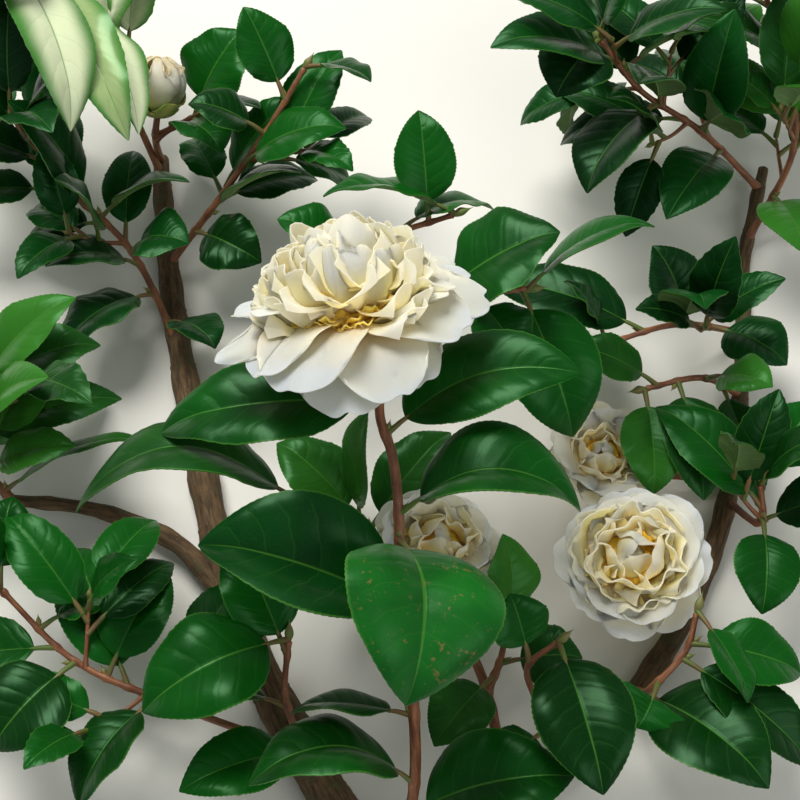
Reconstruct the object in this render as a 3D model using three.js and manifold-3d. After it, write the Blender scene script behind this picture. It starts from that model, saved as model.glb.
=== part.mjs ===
// A cut branch of a camellia shrub, in bloom, laid on its back on level ground.
//
// The branch is worked out upright, as it grew: x to the right, y away from the viewer and z up, in
// millimetres. A place is written [x, z, depth]: where it is seen across the plane of the large bloom, and
// how deep behind that plane it lies. The branch is then laid back about the x axis, so that its boughs lie
// along the ground and its flowering shoot stands up from them.
import * as THREE from "three";
import { mergeVertices } from "three/addons/utils/BufferGeometryUtils.js";
import Module from "manifold-3d";

const wasm = await Module();
wasm.setup();

// Driving dimensions
const VIEW_DISTANCE = 600; // from the eye to the plane of the large bloom
const LAID_BACK = THREE.MathUtils.degToRad(65);
const BLOOM_HEIGHT = 125; // the middle of the view above the ground
const SEAT = 0.3; // clear gap between two pieces that meet
const SLIVER = 0.02; // corners of a joined solid that are closer than this become one
const PETIOLE = 9; // leaf stalk
const PETIOLE_RADIUS = 1.15;
const LEAF_THICK = 1.1;
const LEAF_TIP = 0.45;
const LEAF_FOLD = THREE.MathUtils.degToRad(12); // how far each half of a blade is lifted
const LEAF_LENGTH = 62; // a leaf that grows by the rule, with its stalk
const PETAL_THICK = 1.3;
const TWIG_THICK = 1.7;
const TWIG_THIN = 1.1;
const GOLDEN_ANGLE = 137.5; // degrees from one leaf or petal of a spiral to the next

const COLOURS = {
  wood: [0x5a4636, 0.85],
  leaf: [0x1d5a24, 0.35],
  petal: [0xf4f0df, 0.6],
};

// Which way the upper side of a leaf looks
const FACES = {
  front: [0, -0.8, 0.6],
  up: [0, -0.35, 0.94],
  flat: [0, -0.15, 0.99],
  hanging: [0.1, -0.98, 0.15],
  left: [-0.5, -0.7, 0.5],
  right: [0.5, -0.7, 0.5],
};

// Limbs, each springing from a point along another: on is that limb and how far along it. A course is
// [x, z, lift above the ground] for a bough that lies, and [x, z, depth] for a stem that stands.
const LYING = {
  bough_left: {
    course: [[0, -185, 9], [-25, -144, 8.6], [-58, -79, 7.6], [-76, 0, 6.6], [-84, 54, 6], [-86, 88, 8]],
    thick: 9,
    thin: 3.6,
  },
  bough_right: {
    on: ["bough_left", 0.05],
    course: [
      [43, -144, 6],
      [86, -104, 5.6],
      [114, -50, 5.2],
      [123, 7, 4.8],
      [124, 50, 4.4],
      [131, 84, 9],
    ],
    thick: 6,
    thin: 2.4,
  },
  bough_low_left: {
    on: ["bough_left", 0.38],
    course: [[-80, -52, 9], [-108, -40, 9], [-140, -36, 12]],
    thick: 4.6,
    thin: 2.4,
  },
};
const STANDING = {
  flower_stem: {
    on: ["bough_left", 0.04],
    course: [
      [4, -146, 30],
      [5, -111, 15],
      [0, -53, 9],
      [-1, -33, 8],
      [-3, -19, 8],
      [-7, -7, 9],
      [-8, 3, 10.5],
      [-12, 13, 10.5],
      [-15.6, 22, 7.6],
    ],
    thick: 2.3,
    thin: 1.7,
  },
  bough_middle: {
    on: ["bough_left", 0.6],
    course: [
      [-52, 18, 104],
      [-25, 34, 78],
      [0, 36, 54],
    ],
    thick: 2.8,
    thin: 1.8,
  },
  stalk_right: { on: ["bough_right", 0.5], course: [[100, -62, 92], [85.3, -60, 71]], thick: 1.9, thin: 1.6 },
  stalk_behind: {
    on: ["bough_right", 0.15],
    course: [
      [30, -101, 68],
      [16, -72, 76],
      [10.9, -57, 65.5],
    ],
    thick: 2.4,
    thin: 1.6,
  },
  stalk_far: { on: ["bough_right", 0.6], course: [[95, -27, 112], [71.6, -24, 104]], thick: 1.9, thin: 1.6 },
  stalk_bud: { on: ["bough_left", 0.99], course: [[-88, 94, 160], [-87, 105, 138]], thick: 1.8, thin: 1.4 },
};

// Twigs with their leaves. A leaf row is [place along the twig, tip x, tip z, tip depth, width, face, arch].
const SPRAYS = {
  spray_yellow: {
    on: ["flower_stem", 0.577],
    course: [[-18, -50, 24], [-35, -38, 27]],
    leaves: [[1, -120, -38, 26, 34, [0, -0.52, 0.85], 0.3]],
  },
  spray_behind_bloom: {
    on: ["bough_middle", 1],
    course: [[24, 38, 54], [46, 40, 58]],
    leaves: [
      [0.3, 57, 62, 36, 45, "left", 0.07],
      [1, 91, 66, 46, 32, "up", 0.1],
      [0.95, 63, -14, 60, 38, "hanging", 0.12],
      [0.55, 44, 14, 44, 26, "front", 0.1],
    ],
  },
  spray_top_middle: {
    on: ["bough_middle", 0.56],
    course: [[-12, 55, 94], [20, 67, 88]],
    leaves: [
      [0.86, 7, 105, 86, 26, "hanging", 0.05],
      [1, -28, 76, 72, 26, "up", 0.1],
      [0.7, 34, 70, 106, 26, "up", 0.15],
      [0.45, -44, 66, 84, 26, "front", 0.1],
      [0.3, -8, 22, 106, 26, "front", 0.1],
    ],
  },
  spray_upper_middle: {
    on: ["bough_left", 0.84],
    course: [[-64, 74, 138], [-46, 100, 124], [-34, 120, 118]],
    leaves: [
      [0.3, -36, 84, 126, 26, "up", 0.1],
      [0.2, -50, 50, 130, 28, "hanging", 0.15],
      [0.55, -20, 100, 108, 30, "front", 0.12],
      [1, -10, 116, 104, 22, "up", 0.08],
      [0.85, -56, 142, 112, 26, "front", 0.05],
      [0.7, -76, 108, 112, 24, "front", 0.1],
    ],
  },
  spray_bud: {
    on: ["stalk_bud", 0.5],
    course: [[-82, 98, 155], [-74, 102, 152]],
    leaves: [
      [1, -57, 134, 142, 36, "front", 0.1],
      [0.9, -50, 106, 134, 24, "up", 0.1],
      [0.5, -64, 90, 126, 28, "up", 0.15],
    ],
  },
  spray_hanging: {
    on: ["bough_left", 0.97],
    course: [[-108, 128, 148], [-124, 152, 118], [-142, 160, 100]],
    leaves: [
      [1, -116, 98, 78, 34, "right", 0.12],
      [0.8, -98, 95, 86, 26, "hanging", 0.1],
      [0.66, -93, 97, 96, 24, "right", 0.1],
    ],
    grown: { count: 4, seed: 5 },
  },
  spray_upper_left: {
    on: ["bough_left", 0.72],
    course: [[-97, 54, 138], [-122, 79, 136], [-142, 110, 134]],
    leaves: [
      [0.5, -76, 80, 122, 24, "up", 0.12],
      [0.35, -76, 57, 118, 30, "front", 0.2],
      [0.2, -122, 20, 116, 34, "left", 0.12],
      [0.1, -66, 20, 118, 26, "up", 0.12],
      [0.3, -128, 50, 112, 30, "left", 0.12],
    ],
    grown: { count: 8, seed: 9 },
  },
  spray_left: {
    on: ["bough_low_left", 1],
    course: [[-150, -22, 96], [-152, 2, 92]],
    leaves: [
      [0.1, -92, -12, 82, 18, "up", 0.08],
      [1, -108, 22, 90, 28, "front", 0.12],
      [0.6, -100, 2, 96, 26, "front", 0.12],
    ],
    grown: { count: 6, seed: 14 },
  },
  spray_red_left: {
    on: ["bough_left", 0.2],
    course: [[-86, -108, 50], [-117, -94, 52], [-144, -68, 56]],
    leaves: [
      [0.7, -148, -126, 34, 38, "front", 0.12],
      [0.45, -117, -146, 26, 28, "left", 0.12],
      [0.84, -104, -72, 60, 20, "up", 0.1],
      [1, -140, -34, 60, 26, "front", 0.1],
      [0.6, -84, -60, 66, 28, "front", 0.1],
    ],
    grown: { count: 3, seed: 18 },
  },
  spray_low_middle: {
    on: ["bough_left", 0.15],
    course: [[-41, -108, 38], [-40, -86, 32]],
    leaves: [
      [1, -94, -112, 16, 42, "front", 0.16],
      [0.6, -90, -104, 38, 26, "flat", 0.1],
      [0.3, -80, -140, 24, 28, "front", 0.12],
      [0.9, -60, -48, 42, 30, "front", 0.1],
    ],
  },
  spray_centre: {
    on: ["stalk_behind", 0.76],
    course: [[0, -60, 86], [-14, -44, 92]],
    leaves: [
      [1, -13, -4, 60, 22, "left", 0.06],
      [0.9, 18, -10, 94, 28, "front", 0.1],
      [0.6, -34, -66, 66, 30, "front", 0.12],
      [1, -44, -14, 88, 30, "front", 0.1],
    ],
  },
  spray_centre_low: {
    on: ["stalk_behind", 0.42],
    course: [[36, -94, 64], [38, -84, 62]],
    leaves: [
      [1, 38, -48, 58, 26, "right", 0.1],
      [0.5, 66, -92, 58, 28, "front", 0.1],
      [0.3, 12, -124, 44, 26, "front", 0.1],
    ],
  },
  spray_low_right: {
    on: ["bough_right", 0.22],
    course: [[49, -108, 44], [46, -96, 36], [57, -87, 32]],
    leaves: [
      [1, 74, -142, 0, 38, "hanging", 0.1],
      [0.8, 40, -70, 24, 24, "front", 0.05],
      [0.45, 62, -108, 30, 16, "up", 0.1],
      [0.3, 30, -136, 30, 22, "front", 0.1],
    ],
  },
  spray_right_low: {
    on: ["bough_right", 0.33],
    course: [[90, -104, 50], [103, -90, 48], [107, -76, 48]],
    leaves: [
      [0.25, 134, -138, 18, 40, "front", 0.12],
      [1, 127, -108, 30, 18, "right", 0.05],
      [0.8, 146, -98, 48, 28, "front", 0.1],
      [0.5, 86, -118, 34, 32, "hanging", 0.1],
      [0.7, 150, -132, 40, 26, "front", 0.1],
    ],
  },
  spray_right: {
    on: ["bough_right", 0.57],
    course: [[130, -44, 84], [130, -30, 78]],
    leaves: [
      [0.7, 131, -77, 62, 28, "hanging", 0.1],
      [1, 150, 0, 80, 26, "front", 0.1],
    ],
    grown: { count: 3, seed: 23 },
  },
  spray_right_middle: {
    on: ["bough_right", 0.7],
    course: [[108, 8, 108], [88, 4, 100]],
    leaves: [
      [1, 92, -34, 84, 28, "hanging", 0.1],
      [0.75, 110, -36, 82, 28, "hanging", 0.1],
      [0.5, 134, 6, 84, 24, "front", 0.1],
      [0.9, 62, 20, 96, 22, "front", 0.1],
      [0.3, 130, -36, 88, 20, "hanging", 0.06],
    ],
  },
  spray_right_twig: {
    on: ["bough_right", 0.78],
    course: [[98, 27, 118], [74, 20, 110]],
    leaves: [
      [1, 60, 44, 104, 22, "up", 0.1],
      [0.5, 92, 56, 108, 28, "front", 0.1],
      [0.9, 50, 6, 104, 24, "front", 0.1],
      [0.3, 140, 14, 110, 30, "front", 0.1],
    ],
    grown: { count: 3, seed: 31 },
  },
  spray_upper_right: {
    on: ["bough_right", 0.97],
    course: [[108, 97, 142], [86, 112, 128], [72, 130, 120]],
    leaves: [
      [1, 56, 110, 104, 34, "front", 0.1],
      [0.85, 113, 134, 108, 28, "up", 0.1],
      [0.45, 118, 104, 106, 32, "right", 0.1],
      [0.66, 66, 76, 108, 36, "left", 0.1],
      [0.3, 96, 66, 118, 30, "front", 0.1],
    ],
    grown: { count: 6, seed: 36 },
  },
  spray_far_right: {
    on: ["bough_right", 0.9],
    course: [[142, 92, 142], [138, 126, 134], [130, 150, 128]],
    leaves: [[0.2, 146, 54, 118, 30, "front", 0.1]],
    grown: { count: 8, seed: 41 },
  },
};

// Leaves that spring straight from a stem: [place along it, tip x, tip z, tip depth, width, face, arch, sway]
const STEM_LEAVES = {
  leaf_right: [0.828, 65, 11, -2, 37, "front", 0.05, -0.13],
  leaf_left: [0.885, -89, -9, 14, 38, "front", 0.08],
  leaf_arched: [0.692, 68, -37, 0, 38, [0, -0.6, 0.8], 0.27],
  leaf_front: [0.65, 4, -111, -36, 60, [0.36, -0.75, 0.54], 0.26],
  leaf_low_left: [0.535, -73, -50, 2, 48, "front", 0.08],
  leaf_foot_left: [0.21, -56, -136, 2, 42, "up", 0.22],
  leaf_foot_right: [0.147, 63, -134, 12, 42, "front", 0.14],
  leaf_foot_edge: [0.346, -40, -110, 26, 24, "flat", 0.06],
};

const BLOOMS = {
  bloom_main: {
    centre: [-17, 29, 5],
    facing: [-0.18, -0.34, 0.92],
    core: 9,
    guards: { count: 11, size: 48, seed: 3, leave: 88, end: 108, droop: 18, sides: 6 },
    dome: { count: 26, seed: 7, radius: 31, height: 36 },
  },
  bloom_right: {
    centre: [84, -58, 66],
    facing: [-0.15, -0.93, 0.34],
    core: 7,
    guards: { count: 8, size: 28, seed: 12, leave: 78, end: 96, droop: 4, sides: 4 },
    dome: { count: 9, seed: 17, radius: 18, height: 15 },
  },
  bloom_behind: {
    centre: [12, -54, 62],
    facing: [0.2, -0.75, 0.63],
    core: 6,
    guards: { count: 7, size: 24, seed: 21, leave: 70, end: 84, droop: 4, sides: 4 },
    dome: { count: 7, seed: 27, radius: 15, height: 13 },
  },
  bloom_far: {
    centre: [72, -22, 100],
    facing: [0.1, -0.85, 0.5],
    core: 6,
    guards: { count: 7, size: 23, seed: 33, leave: 66, end: 84, droop: 4, sides: 4 },
    dome: { count: 7, seed: 39, radius: 13, height: 12 },
  },
};

// Where a place is in space, upright
function seen([x, z, depth]) {
  const spread = 1 + depth / VIEW_DISTANCE;
  return new THREE.Vector3(x * spread, depth, z * spread);
}

// The place seen at x, z that is this high above the ground once the branch is laid back
function lying([x, z, lift]) {
  const [sin, cos] = [Math.sin(LAID_BACK), Math.cos(LAID_BACK)];
  return [x, z, (BLOOM_HEIGHT - lift + z * cos) / (sin - (z * cos) / VIEW_DISTANCE)];
}

// A number from 0 to 1 that is the same each time for the same seed and index
function chance(seed, index) {
  const wave = Math.sin(seed * 78.233 + index * 12.9898) * 43758.5453;
  return wave - Math.floor(wave);
}

function solidOf(geometry) {
  const bare = geometry.clone();
  bare.deleteAttribute("normal");
  bare.deleteAttribute("uv");
  const merged = mergeVertices(bare, 1e-4);
  return new wasm.Manifold(
    new wasm.Mesh({
      numProp: 3,
      vertProperties: new Float32Array(merged.attributes.position.array),
      triVerts: new Uint32Array(merged.index.array),
    }),
  );
}

function geometryOf(solid) {
  const mesh = solid.getMesh();
  return new THREE.BufferGeometry()
    .setAttribute("position", new THREE.BufferAttribute(new Float32Array(mesh.vertProperties), 3))
    .setIndex(new THREE.BufferAttribute(new Uint32Array(mesh.triVerts), 1));
}

// The largest body of a solid: a scrap that a cut left loose is dropped
function largest(solid) {
  return solid.decompose().reduce((a, b) => (a.volume() > b.volume() ? a : b));
}

// A closed solid along a course. frameAt gives the { point, across, up } of a station from 0 to 1, and
// cornerAt the place in that frame of a section's corner, from the station and the corner's cosine and sine.
function swept(stations, sides, frameAt, cornerAt) {
  const steps = stations.length - 1;
  const geometry = new THREE.CylinderGeometry(1, 1, 1, sides, steps);
  const position = geometry.attributes.position;
  for (let i = 0; i < position.count; i++) {
    const station = stations[Math.round((position.getY(i) + 0.5) * steps)];
    const { point, across, up } = frameAt(station);
    const [side, rise] = cornerAt(station, position.getX(i), position.getZ(i));
    const place = point.clone().addScaledVector(across, side).addScaledVector(up, rise);
    position.setXYZ(i, place.x, place.y, place.z);
  }
  return solidOf(geometry);
}

// Wood: a tapering limb along a smooth curve through its places
function limbOf({ on, course, thick, thin, sides = 6, step = 22 }) {
  const root = on ? [limbs[on[0]].curve.getPointAt(on[1])] : [];
  const curve = new THREE.CatmullRomCurve3([...root, ...course.map(seen)], false, "centripetal");
  return { curve, thick, thin, sides, steps: Math.max(3, Math.round(curve.getLength() / step)) };
}

function limbSolid({ curve, thick, thin, sides, steps }, extra = 0) {
  const stations = Array.from({ length: steps + 1 }, (_, i) => i / steps);
  const frameAt = (t) => {
    const along = curve.getTangentAt(t);
    const across = new THREE.Vector3(0.1, 1, 0).cross(along).normalize();
    return { point: curve.getPointAt(t), across, up: across.clone().cross(along) };
  };
  return swept(stations, sides, frameAt, (t, cos, sin) => {
    const radius = THREE.MathUtils.lerp(thick, thin, t) + extra;
    return [radius * cos, radius * sin];
  });
}

// Leaf: a stalk and a blade that is widest below its middle, folded along its midrib and pointed at its tip
const BLADE = { fine: [0, 0.18, 0.46, 0.78, 1], coarse: [0, 0.24, 0.62, 1] };

const ROUND_BASE = 0.6;
const DRAWN_TIP = 0.85;

// Half the blade's width at a place along it, as a share of the most that it reaches
function leafOutline(along) {
  const widest = ROUND_BASE / (ROUND_BASE + DRAWN_TIP);
  const most = Math.pow(widest, ROUND_BASE) * Math.pow(1 - widest, DRAWN_TIP);
  return (Math.pow(along, ROUND_BASE) * Math.pow(1 - along, DRAWN_TIP)) / most;
}

function leafFrame({ from, tip, face, arch, sway = 0 }) {
  const chord = tip.clone().sub(from);
  const length = chord.length();
  const dir = chord.clone().normalize();
  const up = new THREE.Vector3(...face).projectOnPlane(dir).normalize();
  const side = dir.clone().cross(up);
  const place = (t) =>
    from
      .clone()
      .addScaledVector(chord, t)
      .addScaledVector(up, arch * length * Math.sin(Math.PI * t))
      .addScaledVector(side, sway * length * Math.sin(Math.PI * t));
  return (t) => {
    const along = place(Math.min(1, t + 0.01))
      .sub(place(Math.max(0, t - 0.01)))
      .normalize();
    const rise = up.clone().projectOnPlane(along).normalize();
    return { point: place(t), across: along.clone().cross(rise), up: rise };
  };
}

function leafSolid(leaf, extra = 0) {
  const frameAt = leafFrame(leaf);
  const share = PETIOLE / leaf.tip.distanceTo(leaf.from);
  const stations = [0, ...leaf.blade.map((u) => share + (1 - share) * u)];
  const fold = Math.tan(LEAF_FOLD);
  return swept(stations, 4, frameAt, (t, cos, sin) => {
    const along = THREE.MathUtils.clamp((t - share) / (1 - share), 0, 1);
    const blade = (leaf.wide / 2) * leafOutline(along);
    const reach = Math.max(blade, along > 0.5 ? LEAF_TIP : PETIOLE_RADIUS) + extra;
    const thick = (along > 0.02 ? LEAF_THICK / 2 : PETIOLE_RADIUS) + extra;
    return [reach * cos, thick * sin + Math.abs(cos) * blade * fold];
  });
}

function rowLeaf(curve, [at, x, z, depth, wide, facing, arch, sway], blade) {
  const face = Array.isArray(facing) ? facing : FACES[facing];
  return { from: curve.getPointAt(at), tip: seen([x, z, depth]), wide, face, arch, sway, blade };
}

// The leaves that a twig bears by rule: in a spiral along it, each leaning out from it and facing the light
function grownLeaves(curve, { count, seed }) {
  return Array.from({ length: count }, (_, i) => {
    const at = 0.3 + (0.7 * (i + 1)) / count;
    const along = curve.getTangentAt(Math.min(at, 1));
    const turn = THREE.MathUtils.degToRad(GOLDEN_ANGLE * i + 40 * chance(seed, i));
    const out = new THREE.Vector3(1, 0, 0).projectOnPlane(along).normalize().applyAxisAngle(along, turn);
    const dir = out.addScaledVector(along, 0.5 + 0.6 * chance(seed, i + 10)).normalize();
    const from = curve.getPointAt(Math.min(at, 1));
    const length = LEAF_LENGTH * (0.75 + 0.4 * chance(seed, i + 20));
    const tip = from.clone().addScaledVector(dir, length);
    return { from, tip, wide: 0.46 * length, face: FACES.front, arch: 0.1, blade: BLADE.coarse };
  });
}

// Bloom: a ring of guard petals round a dome of small petals, in a frame whose z is the bloom's axis
const GUARD_STATIONS = [0, 0.4, 0.8, 1];
const DOME_STATIONS = [0, 0.6, 1];

const PETAL_WIDEST = 0.62; // share of the petal's length
const PETAL_BLUNT = 0.42; // how far past its widest place the outline would close

// Half the petal's width at a place along it, as a share of the most that it reaches: two quarter ellipses
function petalOutline(along) {
  const reach = along > PETAL_WIDEST ? PETAL_BLUNT : 1.2 * PETAL_WIDEST;
  return Math.sqrt(Math.max(0, 1 - Math.pow((along - PETAL_WIDEST) / reach, 2)));
}

// A petal's course leaves the axis at one angle and ends at another
function petalSolid({ turn, length, wide, leave, end, root, cup, sides }, stations) {
  const radians = THREE.MathUtils.degToRad;
  const [outX, outY] = [Math.cos(radians(turn)), Math.sin(radians(turn))];
  const bend = radians(end - leave);
  const frameAt = (t) => {
    const angle = radians(leave) + bend * t;
    const out = root + (length / bend) * (Math.cos(radians(leave)) - Math.cos(angle));
    const rise = (length / bend) * (Math.sin(angle) - Math.sin(radians(leave)));
    const along = new THREE.Vector3(outX * Math.sin(angle), outY * Math.sin(angle), Math.cos(angle));
    const across = new THREE.Vector3(outY, -outX, 0);
    const point = new THREE.Vector3(outX * out, outY * out, rise);
    return { point, across, up: across.clone().cross(along) };
  };
  return swept(stations, sides, frameAt, (t, cos, sin) => {
    const reach = Math.max((wide / 2) * petalOutline(t), PETAL_THICK);
    return [reach * cos, (PETAL_THICK / 2) * sin + cup * wide * cos * cos * Math.sin(Math.PI * t)];
  });
}

// The guard petals droop, and more so on the side that looks to the ground
function guardPetals({ count, size, seed, leave, end, droop, sides }) {
  return Array.from({ length: count }, (_, i) => {
    const turn = (360 * i) / count + 18 * (chance(seed, i) - 0.5);
    return {
      turn,
      length: size * (0.95 + 0.14 * chance(seed, i + 20)),
      wide: size * (0.72 + 0.16 * chance(seed, i + 40)),
      leave: leave + 10 * (chance(seed, i + 60) - 0.5),
      end: end + 16 * (chance(seed, i + 80) - 0.5) - droop * Math.sin(THREE.MathUtils.degToRad(turn)),
      root: 3,
      cup: 0.1,
      sides,
    };
  });
}

// The petals of the dome stand in a spiral over it
function domePetals({ count, seed, radius, height }) {
  return Array.from({ length: count }, (_, i) => {
    const share = (i + 0.5) / count;
    const lean = 84 * Math.sqrt(share);
    const tilt = THREE.MathUtils.degToRad(lean);
    const reach = Math.hypot(radius * Math.sin(tilt), height * Math.cos(tilt));
    return {
      turn: i * GOLDEN_ANGLE + 30 * (chance(seed, i) - 0.5),
      length: reach * (0.98 + 0.14 * chance(seed, i + 100)),
      wide: reach * (0.58 + 0.2 * chance(seed, i + 200)),
      leave: lean + 20,
      end: lean - 42,
      root: 1 + 4 * share,
      cup: 0.2,
      sides: 4,
    };
  });
}

function bloomSolid({ centre, facing, core, guards, dome }) {
  const heart = new THREE.SphereGeometry(1, 10, 7)
    .rotateX(Math.PI / 2)
    .scale(dome.radius * 0.8, dome.radius * 0.8, dome.height * 0.8);
  const petals = [
    ...guardPetals(guards).map((petal) => petalSolid(petal, GUARD_STATIONS)),
    ...domePetals(dome).map((petal) => petalSolid(petal, DOME_STATIONS)),
  ];
  const foot = new THREE.CylinderGeometry(core, core * 0.7, core, 10);
  foot.rotateX(Math.PI / 2).translate(0, 0, -core / 2);
  const upper = wasm.Manifold.union([solidOf(heart).trimByPlane([0, 0, 1], -1), ...petals]);
  const axis = new THREE.Vector3(...facing).normalize();
  const right = new THREE.Vector3(1, 0, 0).projectOnPlane(axis).normalize();
  const basis = new THREE.Matrix4().makeBasis(right, axis.clone().cross(right), axis);
  return largest(upper.add(solidOf(foot))).transform(basis.setPosition(seen(centre)).elements);
}

// The bud is spun from its profile of [radius, height], and stands along a direction
const BUD = {
  at: [-87, 104, 136],
  facing: [0.05, -0.35, 0.93],
  profile: [[0, 0], [6, 2], [10, 9], [10.6, 14], [8, 21], [3.5, 25], [0, 25.8]],
};

function budSolid({ at, facing, profile }) {
  const outline = profile.map(([radius, height]) => new THREE.Vector2(radius, height));
  const spun = new THREE.LatheGeometry(outline, 10);
  const turn = new THREE.Quaternion().setFromUnitVectors(
    new THREE.Vector3(0, 1, 0),
    new THREE.Vector3(...facing).normalize(),
  );
  spun.applyQuaternion(turn).translate(...seen(at).toArray());
  return solidOf(spun);
}

// Assembly, upright: first the limbs, then what they bear, each cut clear of the limbs
const group = new THREE.Group();
const placed = [];
const limbs = {};

function keep(name, kind, cutSolid) {
  const [color, roughness] = COLOURS[kind];
  const material = new THREE.MeshStandardMaterial({ color, roughness, metalness: 0 });
  const solid = cutSolid.simplify(SLIVER);
  const mesh = new THREE.Mesh(geometryOf(solid), material);
  mesh.name = name;
  group.add(mesh);
  placed.push(solid);
}

// A solid less the limbs that stand already, swollen by the clear gap
function clearOfLimbs(solid) {
  const swollen = Object.values(limbs).map((limb) => limbSolid(limb, SEAT));
  return swollen.length ? largest(solid.subtract(wasm.Manifold.union(swollen))) : solid;
}

function keepLimb(name, limb) {
  keep(name, "wood", clearOfLimbs(limbSolid(limb)));
  limbs[name] = limb;
}

// Whether a leaf, a little swollen, touches none of the pieces that stand already
function isClear(leaf) {
  const swollen = leafSolid(leaf, SEAT);
  return placed.every((other) => swollen.intersect(other).isEmpty());
}

for (const [name, limb] of Object.entries(LYING)) {
  keepLimb(name, limbOf({ ...limb, course: limb.course.map(lying) }));
}
for (const [name, limb] of Object.entries(STANDING)) {
  keepLimb(name, limbOf(limb));
}
for (const [name, bloom] of Object.entries(BLOOMS)) {
  keep(name, "petal", clearOfLimbs(bloomSolid(bloom)));
}
keep("bud", "petal", clearOfLimbs(budSolid(BUD)));
for (const [name, row] of Object.entries(STEM_LEAVES)) {
  keep(name, "leaf", clearOfLimbs(leafSolid(rowLeaf(limbs.flower_stem.curve, row, BLADE.fine))));
}
for (const [name, { on, course, leaves, grown }] of Object.entries(SPRAYS)) {
  const twig = limbOf({ on, course, thick: TWIG_THICK, thin: TWIG_THIN, sides: 4 });
  const wanted = leaves.map((row) => rowLeaf(twig.curve, row, BLADE.coarse));
  const extra = grown ? grownLeaves(twig.curve, grown) : [];
  const borne = [...wanted, ...extra].filter(isClear);
  const parts = [limbSolid(twig), ...borne.map((leaf) => leafSolid(leaf))];
  keep(name, "leaf", clearOfLimbs(wasm.Manifold.union(parts)));
}

group.rotation.x = -LAID_BACK;
group.updateMatrixWorld(true);
const box = new THREE.Box3().setFromObject(group, true);
const middle = box.getCenter(new THREE.Vector3());
group.position.set(-middle.x, -middle.y, -box.min.z);

export default group;
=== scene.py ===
"""A cut camellia branch in bloom, lying on its back: its looks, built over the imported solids.

The branch is worked out upright, as it grew, in millimetres: x to the right, y away from the
viewer and z up. A place is written (x, z, depth): where it is seen across the plane of the large
bloom, and how deep behind that plane it lies. Each piece is then laid back about the x axis and
set on the ground, in metres, as the solids are.
"""

from __future__ import annotations

import bisect
import logging
import math
from collections.abc import Callable, Sequence
from dataclasses import dataclass
from enum import Enum

import bmesh
import bpy
from mathutils import Matrix, Vector, noise


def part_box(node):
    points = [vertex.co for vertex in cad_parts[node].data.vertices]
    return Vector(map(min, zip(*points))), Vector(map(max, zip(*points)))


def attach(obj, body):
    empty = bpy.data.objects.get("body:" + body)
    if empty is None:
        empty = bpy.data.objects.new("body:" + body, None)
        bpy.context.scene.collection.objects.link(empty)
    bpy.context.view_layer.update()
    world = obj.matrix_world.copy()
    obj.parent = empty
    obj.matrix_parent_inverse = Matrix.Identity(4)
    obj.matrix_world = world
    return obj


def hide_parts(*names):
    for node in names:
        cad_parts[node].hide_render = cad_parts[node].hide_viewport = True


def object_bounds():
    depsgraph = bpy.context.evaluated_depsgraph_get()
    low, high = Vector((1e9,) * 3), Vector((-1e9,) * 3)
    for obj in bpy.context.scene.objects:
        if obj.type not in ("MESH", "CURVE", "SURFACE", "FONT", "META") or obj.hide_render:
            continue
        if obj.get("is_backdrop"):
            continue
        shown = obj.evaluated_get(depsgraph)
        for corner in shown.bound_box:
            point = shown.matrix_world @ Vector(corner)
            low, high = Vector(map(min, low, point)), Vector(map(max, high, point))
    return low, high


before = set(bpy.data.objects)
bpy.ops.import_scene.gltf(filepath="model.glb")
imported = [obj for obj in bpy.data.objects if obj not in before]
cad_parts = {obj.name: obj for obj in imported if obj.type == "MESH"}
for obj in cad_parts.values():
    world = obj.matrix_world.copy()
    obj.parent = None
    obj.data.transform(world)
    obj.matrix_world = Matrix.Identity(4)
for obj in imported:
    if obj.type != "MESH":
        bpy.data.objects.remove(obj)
SOLIDS_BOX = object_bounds()

LOG = logging.getLogger("camellia")

# Driving dimensions, in millimetres, as in the solids
VIEW_DISTANCE = 600.0
LAID_BACK = math.radians(65)
BLOOM_HEIGHT = 125.0
SET_DOWN = Vector((-2.943619, -43.268169, 124.512516))
PETIOLE = 9.0
PETIOLE_RADIUS = 1.05
LEAF_FOLD = math.radians(12)
LEAF_LENGTH = 62.0
TWIG_THICK = 1.7
TWIG_THIN = 1.1
GOLDEN_ANGLE = 137.5

# Unlike the solids, in millimetres: the blades are thinner, and toothed
LEAF_THICK = 0.5
LEAF_TIP = 0.35
TOOTH = 0.267

# The veins: pairs on a blade, how far they slant forward, how they curve, and the rib's half width
# as a share of the blade's half width
VEIN_PAIRS = 7.0
VEIN_SLANT = 0.2
VEIN_CURVE = 1.25
RIB_HALF = 0.034

METRES = 0.001
PATTERN = "pattern"

Place = tuple[float, float, float]
# The point and the directions along, across and up of each row of a blade
Frames = list[tuple[Vector, Vector, Vector, Vector]]


def seen(place: Place) -> Vector:
    """Finds where a place is in space, upright.

    Args:
        place: x and z across the plane of the large bloom, and the depth behind it.

    Returns:
        The point in the upright frame.
    """
    x, z, depth = place
    spread = 1 + depth / VIEW_DISTANCE
    return Vector((x * spread, depth, z * spread))


def lying(place: Place) -> Place:
    """Finds the depth of a place that has a height above the ground once the branch is laid back.

    Args:
        place: x and z across the plane of the large bloom, and the height above the ground.

    Returns:
        The place with its depth in place of its height.
    """
    x, z, lift = place
    sin, cos = math.sin(LAID_BACK), math.cos(LAID_BACK)
    return (x, z, (BLOOM_HEIGHT - lift + z * cos) / (sin - z * cos / VIEW_DISTANCE))


def to_scene() -> Matrix:
    """Gives the transform from the upright frame, in millimetres, to the scene, in metres."""
    lay = Matrix.Translation(SET_DOWN) @ Matrix.Rotation(-LAID_BACK, 4, "X")
    return Matrix.Scale(METRES, 4) @ lay


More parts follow.
